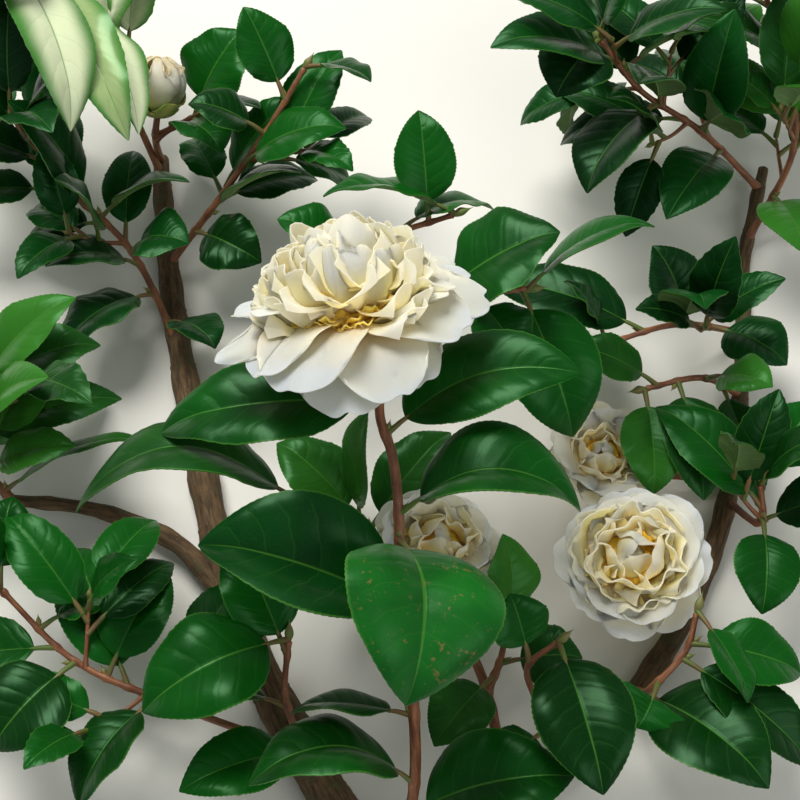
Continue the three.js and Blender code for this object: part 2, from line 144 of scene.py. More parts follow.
def chance(seed: float, index: float) -> float:
    """Gives a number from 0 to 1 that is the same each time for the same seed and index.

    Each use has its own range of indexes, so that no two measures of a leaf or petal go together.
    """
    wave = math.sin(seed * 78.233 + index * 12.9898) * 43758.5453
    return wave - math.floor(wave)


def smooth(value: float, low: float, high: float) -> float:
    """Eases from 0 at low to 1 at high."""
    share = min(1.0, max(0.0, (value - low) / (high - low)))
    return share * share * (3 - 2 * share)


def off(direction: Vector, axis: Vector) -> Vector:
    """Gives the unit part of a direction that is square to a unit axis."""
    return (direction - axis * direction.dot(axis)).normalized()


def leaning_out(along: Vector, turn: float, lean: float) -> Vector:
    """Gives the way that a leaf or a shoot grows off a twig.

    Args:
        along: The twig's direction.
        turn: The turn about it, in degrees.
        lean: How far it follows the twig, against one part outwards.

    Returns:
        The unit direction.
    """
    out = Matrix.Rotation(math.radians(turn), 3, along) @ off(Vector((1, 0, 0)), along)
    return (out + along * lean).normalized()


def borne_at(index: int, count: int) -> float:
    """Gives the share of a twig's length at which one of its leaves by rule springs."""
    return min(1.0, 0.3 + 0.7 * (index + 1) / count)


def add_object(name: str, data: object) -> bpy.types.Object:
    """Adds an object to the scene."""
    made = bpy.data.objects.new(name, data)
    bpy.context.scene.collection.objects.link(made)
    return made


class Course:
    """A smooth curve through places, read by the share of its length."""

    DIVISIONS = 200
    NUDGE = 1e-4

    def __init__(self, places: Sequence[Vector]) -> None:
        """Measures the curve through the places."""
        first = places[0] * 2 - places[1]
        last = places[-1] * 2 - places[-2]
        self.places = [first, *places, last]
        self.spans = len(places) - 1
        self.lengths = [0.0]
        before = self._raw(0.0)
        for i in range(1, self.DIVISIONS + 1):
            point = self._raw(i / self.DIVISIONS)
            self.lengths.append(self.lengths[-1] + (point - before).length)
            before = point
        self.length = self.lengths[-1]

    def _raw(self, t: float) -> Vector:
        """Gives the point at a parameter from 0 to 1, by centripetal interpolation."""
        along = min(1.0, max(0.0, t)) * self.spans
        span = min(self.spans - 1, int(along))
        w = along - span
        p0, p1, p2, p3 = self.places[span : span + 4]
        d0 = (p1 - p0).length_squared ** 0.25
        d1 = (p2 - p1).length_squared ** 0.25
        d2 = (p3 - p2).length_squared ** 0.25
        t1 = ((p1 - p0) / d0 - (p2 - p0) / (d0 + d1) + (p2 - p1) / d1) * d1
        t2 = ((p2 - p1) / d1 - (p3 - p1) / (d1 + d2) + (p3 - p2) / d2) * d1
        square = (p2 - p1) * 3 - t1 * 2 - t2
        cube = (p1 - p2) * 2 + t1 + t2
        return p1 + t1 * w + square * (w * w) + cube * (w * w * w)

    def _parameter(self, share: float) -> float:
        """Turns a share of the length into the curve's parameter."""
        target = min(1.0, max(0.0, share)) * self.length
        i = min(self.DIVISIONS - 1, bisect.bisect_right(self.lengths, target) - 1)
        step = self.lengths[i + 1] - self.lengths[i]
        return (i + (target - self.lengths[i]) / step) / self.DIVISIONS

    def at(self, share: float) -> Vector:
        """Gives the point at a share of the length."""
        return self._raw(self._parameter(share))

    def along(self, share: float) -> Vector:
        """Gives the unit direction of the curve at a share of the length."""
        t = self._parameter(share)
        low, high = max(0.0, t - self.NUDGE), min(1.0, t + self.NUDGE)
        return (self._raw(high) - self._raw(low)).normalized()


class Graph:
    """A node tree under construction."""

    def __init__(self, tree: bpy.types.NodeTree) -> None:
        """Takes the tree that is built."""
        self.tree = tree

    def add(self, kind: str, **settings: object) -> bpy.types.Node:
        """Adds a node.

        Args:
            kind: The node's type name.
            settings: Values for the node's own properties.

        Returns:
            The node.
        """
        made = self.tree.nodes.new(kind)
        for name, value in settings.items():
            setattr(made, name, value)
        return made

    def feed(self, socket: bpy.types.NodeSocket, value: object) -> None:
        """Links a socket to another, or sets its value."""
        if isinstance(value, bpy.types.NodeSocket):
            self.tree.links.new(value, socket)
        else:
            socket.default_value = value

    def math(self, operation: str, *values: object) -> bpy.types.NodeSocket:
        """Adds a Math node.

        Args:
            operation: The operation's name.
            values: Sockets or numbers for its inputs.

        Returns:
            Its output.
        """
        made = self.add("ShaderNodeMath", operation=operation)
        for socket, value in zip(made.inputs, values):
            self.feed(socket, value)
        return made.outputs[0]

    def plus(self, one: object, other: object) -> bpy.types.NodeSocket:
        """Adds two values."""
        return self.math("ADD", one, other)

    def minus(self, one: object, other: object) -> bpy.types.NodeSocket:
        """Takes the other value from the first."""
        return self.math("SUBTRACT", one, other)

    def times(self, one: object, other: object) -> bpy.types.NodeSocket:
        """Multiplies two values."""
        return self.math("MULTIPLY", one, other)

    def larger(self, one: object, other: object) -> bpy.types.NodeSocket:
        """Gives the larger of two values."""
        return self.math("MAXIMUM", one, other)

    def ease(self, value: object, low: float, high: float) -> bpy.types.NodeSocket:
        """Eases a value from 0 at low to 1 at high; low may be above high."""
        made = self.add("ShaderNodeMapRange", interpolation_type="SMOOTHSTEP")
        for name, given in (("Value", value), ("From Min", low), ("From Max", high)):
            self.feed(made.inputs[name], given)
        return made.outputs["Result"]

    def mix(self, factor: object, one: object, other: object) -> bpy.types.NodeSocket:
        """Mixes two colours.

        Args:
            factor: The share of the other colour.
            one: The first colour, or its socket.
            other: The other colour, or its socket.

        Returns:
            The mixed colour.
        """
        made = self.add("ShaderNodeMix", data_type="RGBA", blend_type="MIX", clamp_factor=True)
        sockets = [s for s in made.inputs if s.enabled]
        for socket, value in zip(sockets, (factor, one, other)):
            self.feed(socket, value)
        return next(s for s in made.outputs if s.enabled)

    def noise(
        self, place: object, scale: object, detail: float, rough: float = 0.55
    ) -> bpy.types.NodeSocket:
        """Adds a noise texture and gives its value.

        Args:
            place: The coordinates.
            scale: Features for each unit of the coordinates.
            detail: Octaves.
            rough: The share of each finer octave.

        Returns:
            The noise, about 0.5.
        """
        made = self.add("ShaderNodeTexNoise")
        self.feed(made.inputs["Vector"], place)
        self.feed(made.inputs["Scale"], scale)
        self.feed(made.inputs["Detail"], detail)
        self.feed(made.inputs["Roughness"], rough)
        return made.outputs["Fac"]

    def cells(self, place: object, scale: object, feature: str = "F1") -> bpy.types.NodeSocket:
        """Adds a pattern of cells.

        Args:
            place: The coordinates.
            scale: Cells for each unit of the coordinates.
            feature: What the distance is measured to.

        Returns:
            The distance.
        """
        made = self.add("ShaderNodeTexVoronoi", feature=feature)
        self.feed(made.inputs["Vector"], place)
        self.feed(made.inputs["Scale"], scale)
        return made.outputs["Distance"]

    def stretch(self, place: object, scale: Place) -> bpy.types.NodeSocket:
        """Stretches coordinates."""
        made = self.add("ShaderNodeMapping")
        self.feed(made.inputs["Vector"], place)
        self.feed(made.inputs["Scale"], scale)
        return made.outputs["Vector"]

    def parts(self, vector: object) -> tuple[bpy.types.NodeSocket, ...]:
        """Splits a vector into its three numbers."""
        made = self.add("ShaderNodeSeparateXYZ")
        self.feed(made.inputs[0], vector)
        return tuple(made.outputs)

    def pattern(self) -> bpy.types.NodeSocket:
        """Gives the piece's own pattern coordinates, which follow its surface."""
        return self.add("ShaderNodeAttribute", attribute_name=PATTERN).outputs["Vector"]

    def place(self) -> bpy.types.NodeSocket:
        """Gives the place on the object, in metres."""
        return self.add("ShaderNodeTexCoord").outputs["Object"]

    def bump(self, height: object, strength: float, distance: float) -> bpy.types.NodeSocket:
        """Turns a height into a normal."""
        made = self.add("ShaderNodeBump")
        for name, value in (("Strength", strength), ("Distance", distance), ("Height", height)):
            self.feed(made.inputs[name], value)
        return made.outputs["Normal"]

    def group(self, tree: bpy.types.NodeTree, **values: object) -> bpy.types.NodeOutputs:
        """Places a node group.

        Args:
            tree: The group.
            values: Sockets or numbers for its inputs, by name.

        Returns:
            The group's outputs.
        """
        made = self.add("ShaderNodeGroup", node_tree=tree)
        for name, value in values.items():
            self.feed(made.inputs[name], value)
        return made.outputs


def new_group(
    name: str, vector: str, value: str, masks: Sequence[str]
) -> tuple[Graph, bpy.types.NodeOutputs, bpy.types.NodeInputs]:
    """Starts a shader node group that turns coordinates into masks and heights.

    Args:
        name: The group's name.
        vector: The name of its input of coordinates.
        value: The name of its input of one number.
        masks: The names of its outputs, each one number.

    Returns:
        The graph, the group's inputs and its outputs.
    """
    tree = bpy.data.node_groups.new(name, "ShaderNodeTree")
    new_socket = tree.interface.new_socket
    new_socket(vector, in_out="INPUT", socket_type="NodeSocketVector")
    new_socket(value, in_out="INPUT", socket_type="NodeSocketFloat")
    for mask in masks:
        new_socket(mask, in_out="OUTPUT", socket_type="NodeSocketFloat")
    graph = Graph(tree)
    return graph, graph.add("NodeGroupInput").outputs, graph.add("NodeGroupOutput").inputs


def vein_pattern() -> bpy.types.NodeTree:
    """Makes the group that draws a leaf's veins.

    Pattern holds the place along the blade and across it. It puts out masks of the midrib, of the
    side veins and of the fine net between them, and a height.
    """
    masks = ("Rib", "Veins", "Net", "Height")
    graph, entry, leave = new_group("vein_pattern", "Pattern", "Pairs", masks)
    along, across, _ = graph.parts(entry["Pattern"])
    side = graph.math("ABSOLUTE", across)
    wobble = graph.times(graph.minus(graph.noise(entry["Pattern"], 4.0, 1.0), 0.5), 0.3)
    rib = graph.ease(side, RIB_HALF, 0.01)
    leaning = graph.times(graph.math("POWER", side, VEIN_CURVE), VEIN_SLANT)
    offset = graph.times(graph.math("SIGN", across), 0.5)
    phase = graph.times(graph.minus(along, leaning), entry["Pairs"])
    phase = graph.plus(graph.plus(phase, offset), wobble)
    nearest = graph.math("ABSOLUTE", graph.minus(graph.math("FRACT", phase), 0.5))
    fade = graph.times(graph.ease(side, 0.97, 0.7), graph.ease(along, 0.97, 0.85))
    veins = graph.times(graph.ease(nearest, 0.44, 0.495), fade)
    fine = graph.stretch(entry["Pattern"], (44.0, 15.0, 3.0))
    net = graph.ease(graph.cells(fine, 1.0, "DISTANCE_TO_EDGE"), 0.09, 0.0)
    hollow = graph.times(graph.ease(nearest, 0.25, 0.5), fade)
    height = graph.times(hollow, -0.5)
    height = graph.minus(height, graph.times(veins, 0.08))
    height = graph.minus(height, graph.times(rib, 0.9))
    for name, socket in zip(masks, (rib, veins, net, height)):
        graph.feed(leave[name], socket)
    return graph.tree


def blotches() -> bpy.types.NodeTree:
    """Makes the group of soft blotches and specks that every finish is broken up with."""
    masks = ("Broad", "Fine", "Specks")
    graph, entry, leave = new_group("blotches", "Place", "Scale", masks)
    place, scale = entry["Place"], entry["Scale"]
    broad = graph.noise(place, scale, 2.0, 0.5)
    fine = graph.noise(place, graph.times(scale, 7.0), 4.0, 0.5)
    near = graph.ease(graph.cells(place, graph.times(scale, 16.0)), 0.28, 0.1)
    specks = graph.times(near, graph.ease(fine, 0.5, 0.62))
    for name, socket in zip(masks, (broad, fine, specks)):
        graph.feed(leave[name], socket)
    return graph.tree


Colour = tuple[float, float, float, float]


def colour(red: float, green: float, blue: float) -> Colour:
    """Gives a colour with its alpha."""
    return (red, green, blue, 1.0)


class Effects:
    """The node groups that the finishes share, each built once."""

    def __init__(self) -> None:
        """Builds the groups."""
        self.veins = vein_pattern()
        self.blotches = blotches()


@dataclass(frozen=True)
class Finish:
    """What every finish has: a name, a roughness and a way to make its material."""

    name: str
    rough: float

    def material(self, effects: Effects) -> bpy.types.Material:
        """Makes the material.

        Args:
            effects: The shared node groups.

        Returns:
            The material.
        """
        made = bpy.data.materials.new(self.name)
        made.use_nodes = True
        graph = Graph(made.node_tree)
        shader = made.node_tree.nodes["Principled BSDF"].inputs
        graph.feed(shader["Roughness"], self.rough)
        self.dress(graph, shader, effects)
        return made

    def dress(self, graph: Graph, shader: bpy.types.NodeInputs, effects: Effects) -> None:
        """Feeds the shader, each finish in its own way.

        Args:
            graph: The material's graph.
            shader: The inputs of its Principled BSDF.
            effects: The shared node groups.
        """
        raise NotImplementedError


@dataclass(frozen=True)
class LeafFinish(Finish):
    """The glossy upper side of a leaf."""

    deep: Colour = colour(0.001, 0.023, 0.002)
    light: Colour = colour(0.003, 0.075, 0.005)
    rib: Colour = colour(0.06, 0.2, 0.025)
    coat: float = 0.03
    shine: Colour = colour(0.38, 1.0, 0.5)
    aged: float = 0.0
    margin: Colour | None = None

    def dress(self, graph: Graph, shader: bpy.types.NodeInputs, effects: Effects) -> None:
        """Feeds the shader."""
        pattern, place = graph.pattern(), graph.place()
        _, across, tone = graph.parts(pattern)
        veins = graph.group(effects.veins, Pattern=pattern, Pairs=VEIN_PAIRS)
        spots = graph.group(effects.blotches, Place=place, Scale=38.0)
        shade = graph.plus(graph.times(spots["Broad"], 0.9), graph.minus(tone, 0.45))
        base = graph.mix(graph.ease(shade, 0.1, 0.9), self.deep, self.light)
        # Where a finish has a margin colour, its pale painted sheen gives way to the leaf's own green
        # towards the edge.
        if self.margin:
            edge = graph.plus(graph.math("ABSOLUTE", across), graph.times(spots["Broad"], 0.3))
            base = graph.mix(graph.ease(edge, 0.55, 1.15), base, self.margin)
        pale = graph.times(veins["Veins"], 0.11)
        pale = graph.larger(pale, graph.times(veins["Net"], 0.05))
        pale = graph.larger(pale, graph.times(veins["Rib"], 0.6))
        base = graph.mix(pale, base, self.rib)
        rim = graph.ease(graph.math("ABSOLUTE", across), 0.955, 0.995)
        base = graph.mix(graph.times(rim, 0.6), base, self.rib)
        if self.aged > 0:
            where = graph.ease(graph.noise(place, 90.0, 1.0), 0.46, 0.6)
            worn = graph.times(graph.ease(graph.noise(place, 420.0, 2.0), 0.6, 0.7), where)
            worn = graph.larger(worn, graph.times(spots["Specks"], 0.6))
            base = graph.mix(graph.times(worn, self.aged), base, colour(0.17, 0.12, 0.04))
        graph.feed(shader["Base Color"], base)
        gloss = graph.plus(graph.times(spots["Fine"], 0.16), self.rough - 0.08)
        graph.feed(shader["Roughness"], gloss)
        graph.feed(shader["Coat Weight"], self.coat)
        graph.feed(shader["Coat Roughness"], 0.22)
        graph.feed(shader["Specular IOR Level"], 0.24)
        graph.feed(shader["Specular Tint"], self.shine)
        relief = graph.plus(veins["Height"], graph.times(spots["Fine"], 0.3))
        graph.feed(shader["Normal"], graph.bump(relief, 0.32, 0.0005))


@dataclass(frozen=True)
class UndersideFinish(Finish):
    """The pale matt underside of a leaf."""

    body: Colour = colour(0.09, 0.19, 0.045)
    rib: Colour = colour(0.24, 0.34, 0.11)

    def dress(self, graph: Graph, shader: bpy.types.NodeInputs, effects: Effects) -> None:
        """Feeds the shader."""
        pattern = graph.pattern()
        veins = graph.group(effects.veins, Pattern=pattern, Pairs=VEIN_PAIRS)
        spots = graph.group(effects.blotches, Place=graph.place(), Scale=45.0)
        drawn = graph.larger(veins["Rib"], graph.times(veins["Veins"], 0.6))
        drawn = graph.larger(drawn, graph.times(veins["Net"], 0.3))
        base = graph.mix(drawn, self.body, self.rib)
        base = graph.mix(graph.times(spots["Broad"], 0.35), base, colour(0.03, 0.09, 0.02))
        graph.feed(shader["Base Color"], base)
        raised = graph.times(veins["Height"], -1.0)
        graph.feed(shader["Normal"], graph.bump(raised, 0.5, 0.0004))


@dataclass(frozen=True)
class PetalFinish(Finish):
    """A petal: coloured at its base, clear towards its margin, and finely lined along its length."""

    base: Colour = colour(0.85, 0.55, 0.1)
    body: Colour = colour(0.86, 0.82, 0.66)
    margin: Colour = colour(0.92, 0.91, 0.84)
    heart: float = 0.3

    def dress(self, graph: Graph, shader: bpy.types.NodeInputs, effects: Effects) -> None:
        """Feeds the shader."""
        pattern = graph.pattern()
        along, _, tone = graph.parts(pattern)
        spots = graph.group(effects.blotches, Place=graph.place(), Scale=60.0)
        drift = graph.plus(along, graph.times(graph.minus(spots["Broad"], 0.5), 0.3))
        drift = graph.minus(drift, graph.times(graph.minus(tone, 0.5), 0.3))
        base = graph.mix(graph.ease(drift, 0.0, self.heart), self.base, self.body)
        base = graph.mix(graph.ease(drift, self.heart, 0.95), base, self.margin)
        lines = graph.noise(graph.stretch(pattern, (1.6, 26.0, 9.0)), 1.0, 3.0, 0.6)
        base = graph.mix(graph.times(graph.ease(lines, 0.62, 0.35), 0.12), base, self.body)
        graph.feed(shader["Base Color"], base)
        graph.feed(shader["Subsurface Weight"], 0.7)
        graph.feed(shader["Subsurface Radius"], (1.0, 0.8, 0.45))
        graph.feed(shader["Subsurface Scale"], 0.008)
        graph.feed(shader["Specular IOR Level"], 0.2)
        relief = graph.plus(lines, graph.times(spots["Fine"], 0.6))
        graph.feed(shader["Normal"], graph.bump(relief, 0.25, 0.0004))


@dataclass(frozen=True)
class BarkFinish(Finish):
    """Bark, streaked along the limb and flecked with pale pores.

    The pattern coordinates hold the place round the limb, twice, and along it, in centimetres.
    """

    dark: Colour = colour(0.042, 0.024, 0.01)
    pale: Colour = colour(0.15, 0.09, 0.04)
    pores: Colour = colour(0.24, 0.17, 0.09)
    moss: float = 0.0
    relief: float = 0.0006

    def dress(self, graph: Graph, shader: bpy.types.NodeInputs, effects: Effects) -> None:
        """Feeds the shader."""
        pattern = graph.pattern()
        streaks = graph.noise(graph.stretch(pattern, (7.0, 7.0, 1.1)), 1.0, 5.0, 0.62)
        spots = graph.group(effects.blotches, Place=pattern, Scale=0.9)
        base = graph.mix(graph.ease(streaks, 0.32, 0.68), self.dark, self.pale)
        base = graph.mix(graph.ease(spots["Broad"], 0.45, 0.75), base, self.dark)
        cells = graph.cells(graph.stretch(pattern, (3.2, 3.2, 6.5)), 1.0)
        pores = graph.times(graph.ease(cells, 0.17, 0.07), 0.5)
        base = graph.mix(pores, base, self.pores)
        if self.moss > 0:
            grown = graph.times(graph.ease(spots["Broad"], 0.56, 0.68), self.moss)
            base = graph.mix(grown, base, colour(0.11, 0.12, 0.045))
        graph.feed(shader["Base Color"], base)
        height = graph.plus(streaks, graph.times(pores, 0.35))
        graph.feed(shader["Normal"], graph.bump(height, 0.7, self.relief))


@dataclass(frozen=True)
class PlainFinish(Finish):
    """A finish of two close colours, dealt out in soft blotches."""

    one: Colour = colour(0.5, 0.5, 0.5)
    other: Colour = colour(0.4, 0.4, 0.4)
    scale: float = 60.0
    relief: float = 0.0002

    def dress(self, graph: Graph, shader: bpy.types.NodeInputs, effects: Effects) -> None:
        """Feeds the shader."""
        spots = graph.group(effects.blotches, Place=graph.place(), Scale=self.scale)
        base = graph.mix(graph.ease(spots["Broad"], 0.35, 0.65), self.one, self.other)
        graph.feed(shader["Base Color"], base)
        graph.feed(shader["Normal"], graph.bump(spots["Fine"], 0.4, self.relief))


class Shape:
    """One closed body in the making, with the pattern coordinates that its finish reads."""

    def __init__(self) -> None:
        """Starts an empty mesh."""
        self.mesh = bmesh.new()
        self.pattern = self.mesh.verts.layers.float_vector.new(PATTERN)

    @classmethod
    def sheet(
        cls,
        rows: int,
        columns: int,
        place: Callable[[int, float, float], Vector],
        pattern: Callable[[float, float], Place],
        thick: float,
        finishes: tuple[int, int] = (0, 0),
        shift: Callable[[int, float, float], Vector] | None = None,
    ) -> Shape:
        """Makes a thin closed sheet from a grid.

        Args:
            rows: Steps along the sheet.
            columns: Steps across it.
            place: Where a point is, from its row, the share along and the place across, from -1 to 1.
            pattern: The pattern coordinates of a point.
            thick: The wall.
            finishes: The material indexes of the upper side and of the underside.
            shift: How far a point of the underside is moved.

        Returns:
            The sheet.
        """
        made = cls()
        verts = bmesh.ops.create_grid(made.mesh, x_segments=rows, y_segments=columns, size=1.0)["verts"]
        faces = list(made.mesh.faces)
        spots = {}
        for vert in verts:
            along, across = (vert.co.x + 1) / 2, -vert.co.y
            spots[vert] = (round(along * rows), along, across)
            vert[made.pattern] = pattern(along, across)
        for face in faces:
            face.material_index = finishes[0]
        for vert, spot in spots.items():
            vert.co = place(*spot)
        made.mesh.normal_update()
        upper = {
            tuple(vert[made.pattern]): (vert.co.copy(), vert.normal.copy(), spot)
            for vert, spot in spots.items()
        }
        for item in bmesh.ops.solidify(made.mesh, geom=faces, thickness=thick)["geom"]:
            if isinstance(item, bmesh.types.BMFace):
                item.material_index = finishes[1]
            if isinstance(item, bmesh.types.BMVert):
                point, normal, spot = upper[tuple(item[made.pattern])]
                item.co = point - normal * thick + (shift(*spot) if shift else Vector())
        return made

    @classmethod
    def tube(
        cls,
        rings: int,
        sides: int,
        place: Callable[[float, float], Vector],
        pattern: Callable[[float, float], Place],
        finishes: tuple[int, int] = (0, 0),
    ) -> Shape:
        """Makes a closed tube from a cone's ring.

        Args:
            rings: Steps along the tube.
            sides: Steps round it.
            place: Where a point is, from the share along and the angle round.
            pattern: The pattern coordinates of a point.
            finishes: The material indexes of the wall and of its two ends.

        Returns:
            The tube.
        """
        made = cls()
        bmesh.ops.create_cone(
            made.mesh, cap_ends=True, cap_tris=False, segments=sides, radius1=1.0, radius2=1.0, depth=2.0
        )
        upright = [e for e in made.mesh.edges if abs(e.verts[0].co.z - e.verts[1].co.z) > 1]
        bmesh.ops.subdivide_edges(made.mesh, edges=upright, cuts=rings - 1, use_grid_fill=True)
        for face in made.mesh.faces:
            face.material_index = finishes[1] if len(face.verts) > 4 else finishes[0]
        for vert in made.mesh.verts:
            along, angle = (vert.co.z + 1) / 2, math.atan2(vert.co.y, vert.co.x)
            vert[made.pattern] = pattern(along, angle)
            vert.co = place(along, angle)
        made.mesh.normal_update()
        return made

    @classmethod
    def ball(
        cls, finer: int, place: Callable[[Vector], Vector], pattern: Callable[[Vector], Place]
    ) -> Shape:
        """Makes a closed body from an icosphere.

        Args:
            finer: The icosphere's subdivisions.
            place: Where a point is, from its direction.
            pattern: The pattern coordinates of a direction.

        Returns:
            The body.
        """
        made = cls()
        for vert in bmesh.ops.create_icosphere(made.mesh, subdivisions=finer, radius=1.0)["verts"]:
            direction = vert.co.copy()
            vert[made.pattern] = pattern(direction)
            vert.co = place(direction)
        made.mesh.normal_update()
        return made


class Piece:
    """One object of the scene, joined from shapes in the upright frame."""

    SHARP = math.radians(55)

    def __init__(self, name: str, materials: Sequence[bpy.types.Material]) -> None:
        """Starts the object.

        Args:
            name: The object's name.
            materials: Its materials, in the order of the shapes' indexes.
        """
        self.name = name
        self.materials = materials
        self.mesh = bmesh.new()
        self.mesh.verts.layers.float_vector.new(PATTERN)

    def take(self, *shapes: Shape) -> None:
        """Joins shapes to the piece."""
        for shape in shapes:
            handed = bpy.data.meshes.new("handed")
            shape.mesh.to_mesh(handed)
            shape.mesh.free()
            self.mesh.from_mesh(handed)
            bpy.data.meshes.remove(handed)

    def finish(self, slot: str, *stands_for: str) -> None:
        """Lays the piece on the ground and hands it to the frame.

        Args:
            slot: Not used.
            stands_for: The solids that it replaces.
        """
        bmesh.ops.transform(self.mesh, matrix=to_scene(), verts=self.mesh.verts)
        ends = [face for face in self.mesh.faces if len(face.verts) > 4]
        bmesh.ops.triangulate(self.mesh, faces=ends)
        for face in self.mesh.faces:
            face.smooth = True
        made = bpy.data.meshes.new(self.name)
        self.mesh.to_mesh(made)
        self.mesh.free()
        made.set_sharp_from_angle(angle=self.SHARP)
        for material in self.materials:
            made.materials.append(material)
        piece = add_object(self.name, made)
        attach(piece, "root")
        if stands_for:
            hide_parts(*stands_for)
        triangles = sum(len(face.vertices) - 2 for face in made.polygons)
        LOG.info("%s: %d triangles", self.name, triangles)


class Face(Enum):
    """Which way the upper side of a leaf looks."""

    FRONT = (0, -0.8, 0.6)
    UP = (0, -0.35, 0.94)
    FLAT = (0, -0.15, 0.99)
    HANGING = (0.1, -0.98, 0.15)
    LEFT = (-0.5, -0.7, 0.5)
    RIGHT = (0.5, -0.7, 0.5)


class Leafage(Enum):
    """The kinds of leaf, dealt out by spray; some paint light or shade into their colour."""

    DEEP = LeafFinish("leaf_deep", 0.32)
    # A darker copy of the deep green for leaves that lie in shade: partly their own darker green, partly
    # painted shade.
    DARK = LeafFinish(
        "leaf_dark", 0.32, deep=colour(0.001, 0.017, 0.003), light=colour(0.003, 0.055, 0.007)
    )
    FRESH = LeafFinish(
        "leaf_fresh", 0.33, deep=colour(0.006, 0.05, 0.006), light=colour(0.03, 0.16, 0.015)
    )
    AGED = LeafFinish(
        "leaf_aged", 0.36, deep=colour(0.002, 0.05, 0.005), light=colour(0.01, 0.145, 0.016), aged=0.75
    )
    # Painted sheen: pale greens stand for the sky's reflection on the hanging leaves; their own deep
    # green shows only in the margin.
    SHEEN_PAINTED = LeafFinish(
        "leaf_painted_sheen",
        0.26,
        coat=0.4,
        deep=colour(0.3, 0.42, 0.18),
        light=colour(0.66, 0.74, 0.5),
        margin=colour(0.05, 0.2, 0.03),
    )


class Bark(Enum):
    """The kinds of bark."""

    OLD = BarkFinish("bark_old", 0.85, moss=0.35)
    YOUNG = BarkFinish(
        "bark_young", 0.6, dark=colour(0.09, 0.03, 0.008), pale=colour(0.25, 0.11, 0.03), relief=0.0004
    )
    SHOOT = BarkFinish(
        "bark_shoot",
        0.5,
        dark=colour(0.12, 0.035, 0.012),
        pale=colour(0.3, 0.12, 0.05),
        pores=colour(0.42, 0.24, 0.12),
        relief=0.00025,
    )


@dataclass(frozen=True)
class Limb:
    """A bough or stem that springs from a share of another's length, and tapers along its course."""

    name: str
    on: tuple[str, float] | None
    course: tuple[Place, ...]
    thick: float
    thin: float
    bark: Bark = Bark.YOUNG
    lies: bool = False


@dataclass(frozen=True)
class Row:
    """A leaf that has its own place: where it springs, where its tip is seen, and how it looks."""

    at: float
    tip: Place
    wide: float
    face: Face | Place = Face.FRONT
    arch: float = 0.1
    sway: float = 0.0
    kind: Leafage = Leafage.DEEP
    fold: float = 1.0


@dataclass(frozen=True)
class Grown:
    """How many leaves a twig bears by rule, and their seed."""

    count: int
    seed: int


@dataclass(frozen=True)
class Spray:
    """A twig that springs from a limb, with its leaves."""

    name: str
    on: tuple[str, float]
    course: tuple[Place, ...]
    rows: tuple[Row, ...]
    grown: Grown | None = None
    kind: Leafage = Leafage.DEEP
    without: tuple[int, ...] = ()
    shoots: int = 0


LIMBS = (
    Limb(
        "bough_left", None,
        (
            (0, -185, 9), (-25, -144, 8.6), (-58, -79, 7.6), (-76, 0, 6.6), (-84, 54, 6),
            (-86, 88, 8),
        ),
        9, 3.6, Bark.OLD, lies=True,
    ),
    Limb(
        "bough_right", ("bough_left", 0.05),
        (
            (43, -144, 6), (86, -104, 5.6), (114, -50, 5.2), (123, 7, 4.8), (124, 50, 4.4),
            (131, 84, 9),
        ),
        6, 2.4, Bark.OLD, lies=True,
    ),
    Limb(
        "bough_low_left", ("bough_left", 0.38),
        ((-80, -52, 9), (-108, -40, 9), (-140, -36, 12)),
        4.6, 2.4, Bark.OLD, lies=True,
    ),
    Limb(
        "flower_stem", ("bough_left", 0.04),
        (
            (4, -146, 30), (5, -111, 15), (0, -53, 9), (-1, -33, 8), (-3, -19, 8), (-7, -7, 9),
            (-8, 3, 10.5), (-12, 13, 10.5), (-15.6, 22, 7.6),
        ),
        2.3, 1.7, Bark.SHOOT,
    ),
    Limb(
        "bough_middle", ("bough_left", 0.6),
        ((-52, 18, 104), (-25, 34, 78), (0, 36, 54)),
        2.8, 1.8,
    ),
    Limb(
        "stalk_right", ("bough_right", 0.5),
        ((100, -62, 92), (85.3, -60, 71)),
        1.9, 1.6, Bark.SHOOT,
    ),
    Limb(
        "stalk_behind", ("bough_right", 0.15),
        ((30, -101, 68), (16, -72, 76), (10.9, -57, 65.5)),
        2.4, 1.6, Bark.SHOOT,
    ),
    Limb(
        "stalk_far", ("bough_right", 0.6),
        ((95, -27, 112), (71.6, -24, 104)),
        1.9, 1.6, Bark.SHOOT,
    ),
    Limb(
        "stalk_bud", ("bough_left", 0.99),
        ((-88, 94, 160), (-87, 105, 138)),
        1.8, 1.4, Bark.SHOOT,
    ),
)

